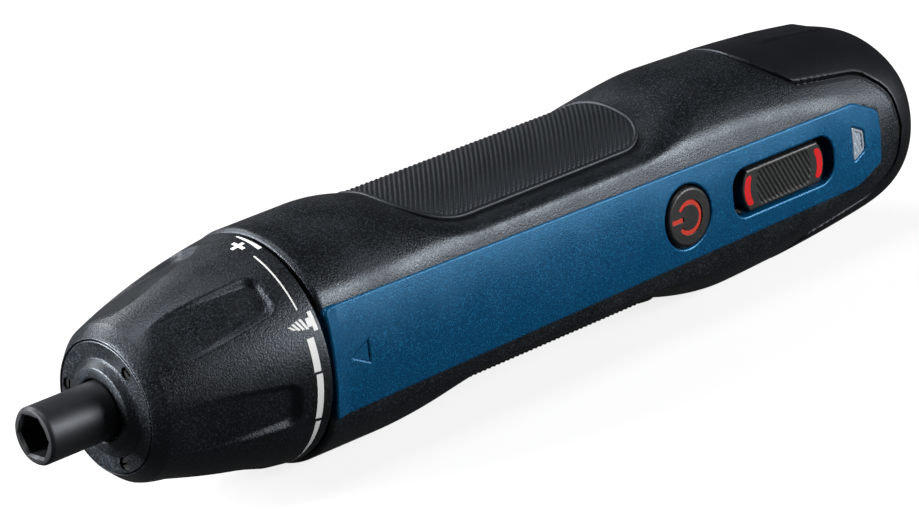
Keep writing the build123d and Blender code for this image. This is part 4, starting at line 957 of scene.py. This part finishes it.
# Bit holder: a turned and blackened steel bar with a broached hex socket.
# The mouth is chamfered inside and out, and the bar turns in the boss of the nose plate.

hex_flats, holder_radius, socket_depth = 6.45, 4.85, 14.0
mouth_low, mouth_high, holder_end_x = 3.65, 4.0, 24.0


def hexagon_loop(angle, flats):
    """A hexagon's reach in each direction, one corner at angle 0."""
    step = math.pi / 3
    return flats / 2 / np.cos(angle % step - step / 2)


def holder():
    """Loops from the socket's floor over the mouth and back along the bar, each a reach over the angle."""
    angle = np.linspace(0, 2 * math.pi, 240, endpoint=False)
    socket = hexagon_loop(angle, hex_flats)
    mouth = np.minimum(np.maximum(socket + 0.3, mouth_low), mouth_high)
    steps = [(socket_depth, socket * 0.01), (socket_depth, socket), (0.7, socket), (0.45, socket)]
    steps += [(0.05, mouth), (0.0, mouth + 0.06), (0.0, 4.3), (0.06, 4.5), (0.4, 4.78)]
    steps += [(0.55, holder_radius)] + [(x, holder_radius) for x in np.linspace(1.0, holder_end_x, 24)]
    return np.stack([polar(x, angle, reach) for x, reach in steps])


# Blackened steel is a dark grey metal whose oxide dulls the shine.
black_steel = grained("blackened steel", "#3a3c3f", 0.45, 0.35, 0.008, metallic=0.85, spread=0.08)
piece("holder_bar", [grid(holder(), closed=True)], black_steel, "spindle", ["bit_holder"],
      crease=30)

# Stage: a pale floor that the tool lies on, soft studio light and a camera at the photograph's place.
# The camera is a long lens in front of the nose, a little above it and slightly rolled.

floor_half, floor_z = 6.0, -rest_depth / 1000
floor_glow, world_fill, sent_on_share = 0.82, 0.01, 0.05
floor_mesh = bpy.data.meshes.new("floor")
floor_corners = [(floor_half * x, floor_half * y, floor_z)
                 for x, y in ((-1, -1), (1, -1), (1, 1), (-1, 1))]
floor_mesh.from_pydata(floor_corners, [], [(0, 1, 2, 3)])
floor = in_scene("floor", floor_mesh)


def seen_directly(tree):
    """1 for rays from the camera, a small share for rays sent on by a shiny or clear piece, 0 for light."""
    path = add(tree, "ShaderNodeLightPath").outputs
    sent_on = add(tree, "ShaderNodeMath", links={0: path["Is Glossy Ray"], 1: path["Is Transmission Ray"]},
                  operation="MAXIMUM")
    share = add(tree, "ShaderNodeMath", {1: sent_on_share},
                {0: sent_on.outputs[0], 2: path["Is Camera Ray"]}, operation="MULTIPLY_ADD")
    return share.outputs[0]


# Studio paper is nearly white to the camera, and throws only a little light back on the tool.
paper = bpy.data.materials.new("pale studio paper")
paper_tree = emptied(paper)
seen = seen_directly(paper_tree)
bounce = add(paper_tree, "ShaderNodeBsdfDiffuse", {"Color": colour("#242424")})
sheet = add(paper_tree, "ShaderNodeBsdfDiffuse", {"Color": colour("#7a7a7a")})
glow = add(paper_tree, "ShaderNodeEmission", {"Color": colour("#ffffff"), "Strength": floor_glow})
white = add(paper_tree, "ShaderNodeAddShader", links={0: sheet.outputs[0], 1: glow.outputs[0]})
either = add(paper_tree, "ShaderNodeMixShader", links={0: seen, 1: bounce.outputs[0], 2: white.outputs[0]})
add(paper_tree, "ShaderNodeOutputMaterial", links={"Surface": either.outputs[0]})
floor_mesh.materials.append(paper)

world = bpy.data.worlds.new("studio")
bpy.context.scene.world = world
world_tree = emptied(world)
dim = add(world_tree, "ShaderNodeBackground", {"Color": colour("#ffffff"), "Strength": world_fill})
bright = add(world_tree, "ShaderNodeBackground", {"Color": colour("#ffffff"), "Strength": 1.0})
shown = add(world_tree, "ShaderNodeMixShader",
            links={0: seen_directly(world_tree), 1: dim.outputs[0], 2: bright.outputs[0]})
add(world_tree, "ShaderNodeOutputWorld", links={"Surface": shown.outputs[0]})


def softbox(name, place, target, size, power):
    """A rectangular area lamp at a place in metres, turned to its target."""
    lamp = bpy.data.lights.new(name, "AREA")
    lamp.shape = "RECTANGLE"
    lamp.size, lamp.size_y = size
    lamp.energy = power
    made = in_scene(name, lamp)
    aim = (Vector(target) - Vector(place)).to_track_quat("-Z", "Y")
    made.matrix_world = Matrix.Translation(place) @ aim.to_matrix().to_4x4()


# A key lamp beside the tail, a rim lamp behind the back, one ahead of the nose and a weak one above.
body_middle = (0.1, 0.0, 0.0)
softbox("key", (0.45, -0.44, 0.17), body_middle, (0.3, 0.22), 4.7)
softbox("rim", (0.0, 0.69, 0.58), body_middle, (0.5, 0.3), 5.5)
softbox("nose", (-0.64, 0.43, 0.28), body_middle, (0.35, 0.35), 25)
softbox("top", (0.0, 0.05, 0.75), (0.02, 0.0, 0.0), (0.25, 0.25), 2.2)

camera_place = np.array((-336.4, -479.7, 216.8)) / 1000
camera_right = np.array((0.718, -0.6883, -0.1036))
camera_up = np.array((0.2928, 0.1636, 0.9421))
focal_pixels, frame_width = 4000.0, 919.0
lens = bpy.data.cameras.new("photo_camera")
lens.sensor_width = 36.0
lens.lens = focal_pixels / frame_width * lens.sensor_width
lens.clip_start = 0.01
camera = in_scene("photo_camera", lens)
axes = np.stack([camera_right, camera_up, np.cross(camera_right, camera_up)], 1)
turn = Matrix(axes.tolist()).to_4x4()
camera.matrix_world = Matrix.Translation(camera_place) @ turn
bpy.context.scene.camera = camera
bpy.context.scene.view_settings.view_transform = "Standard"
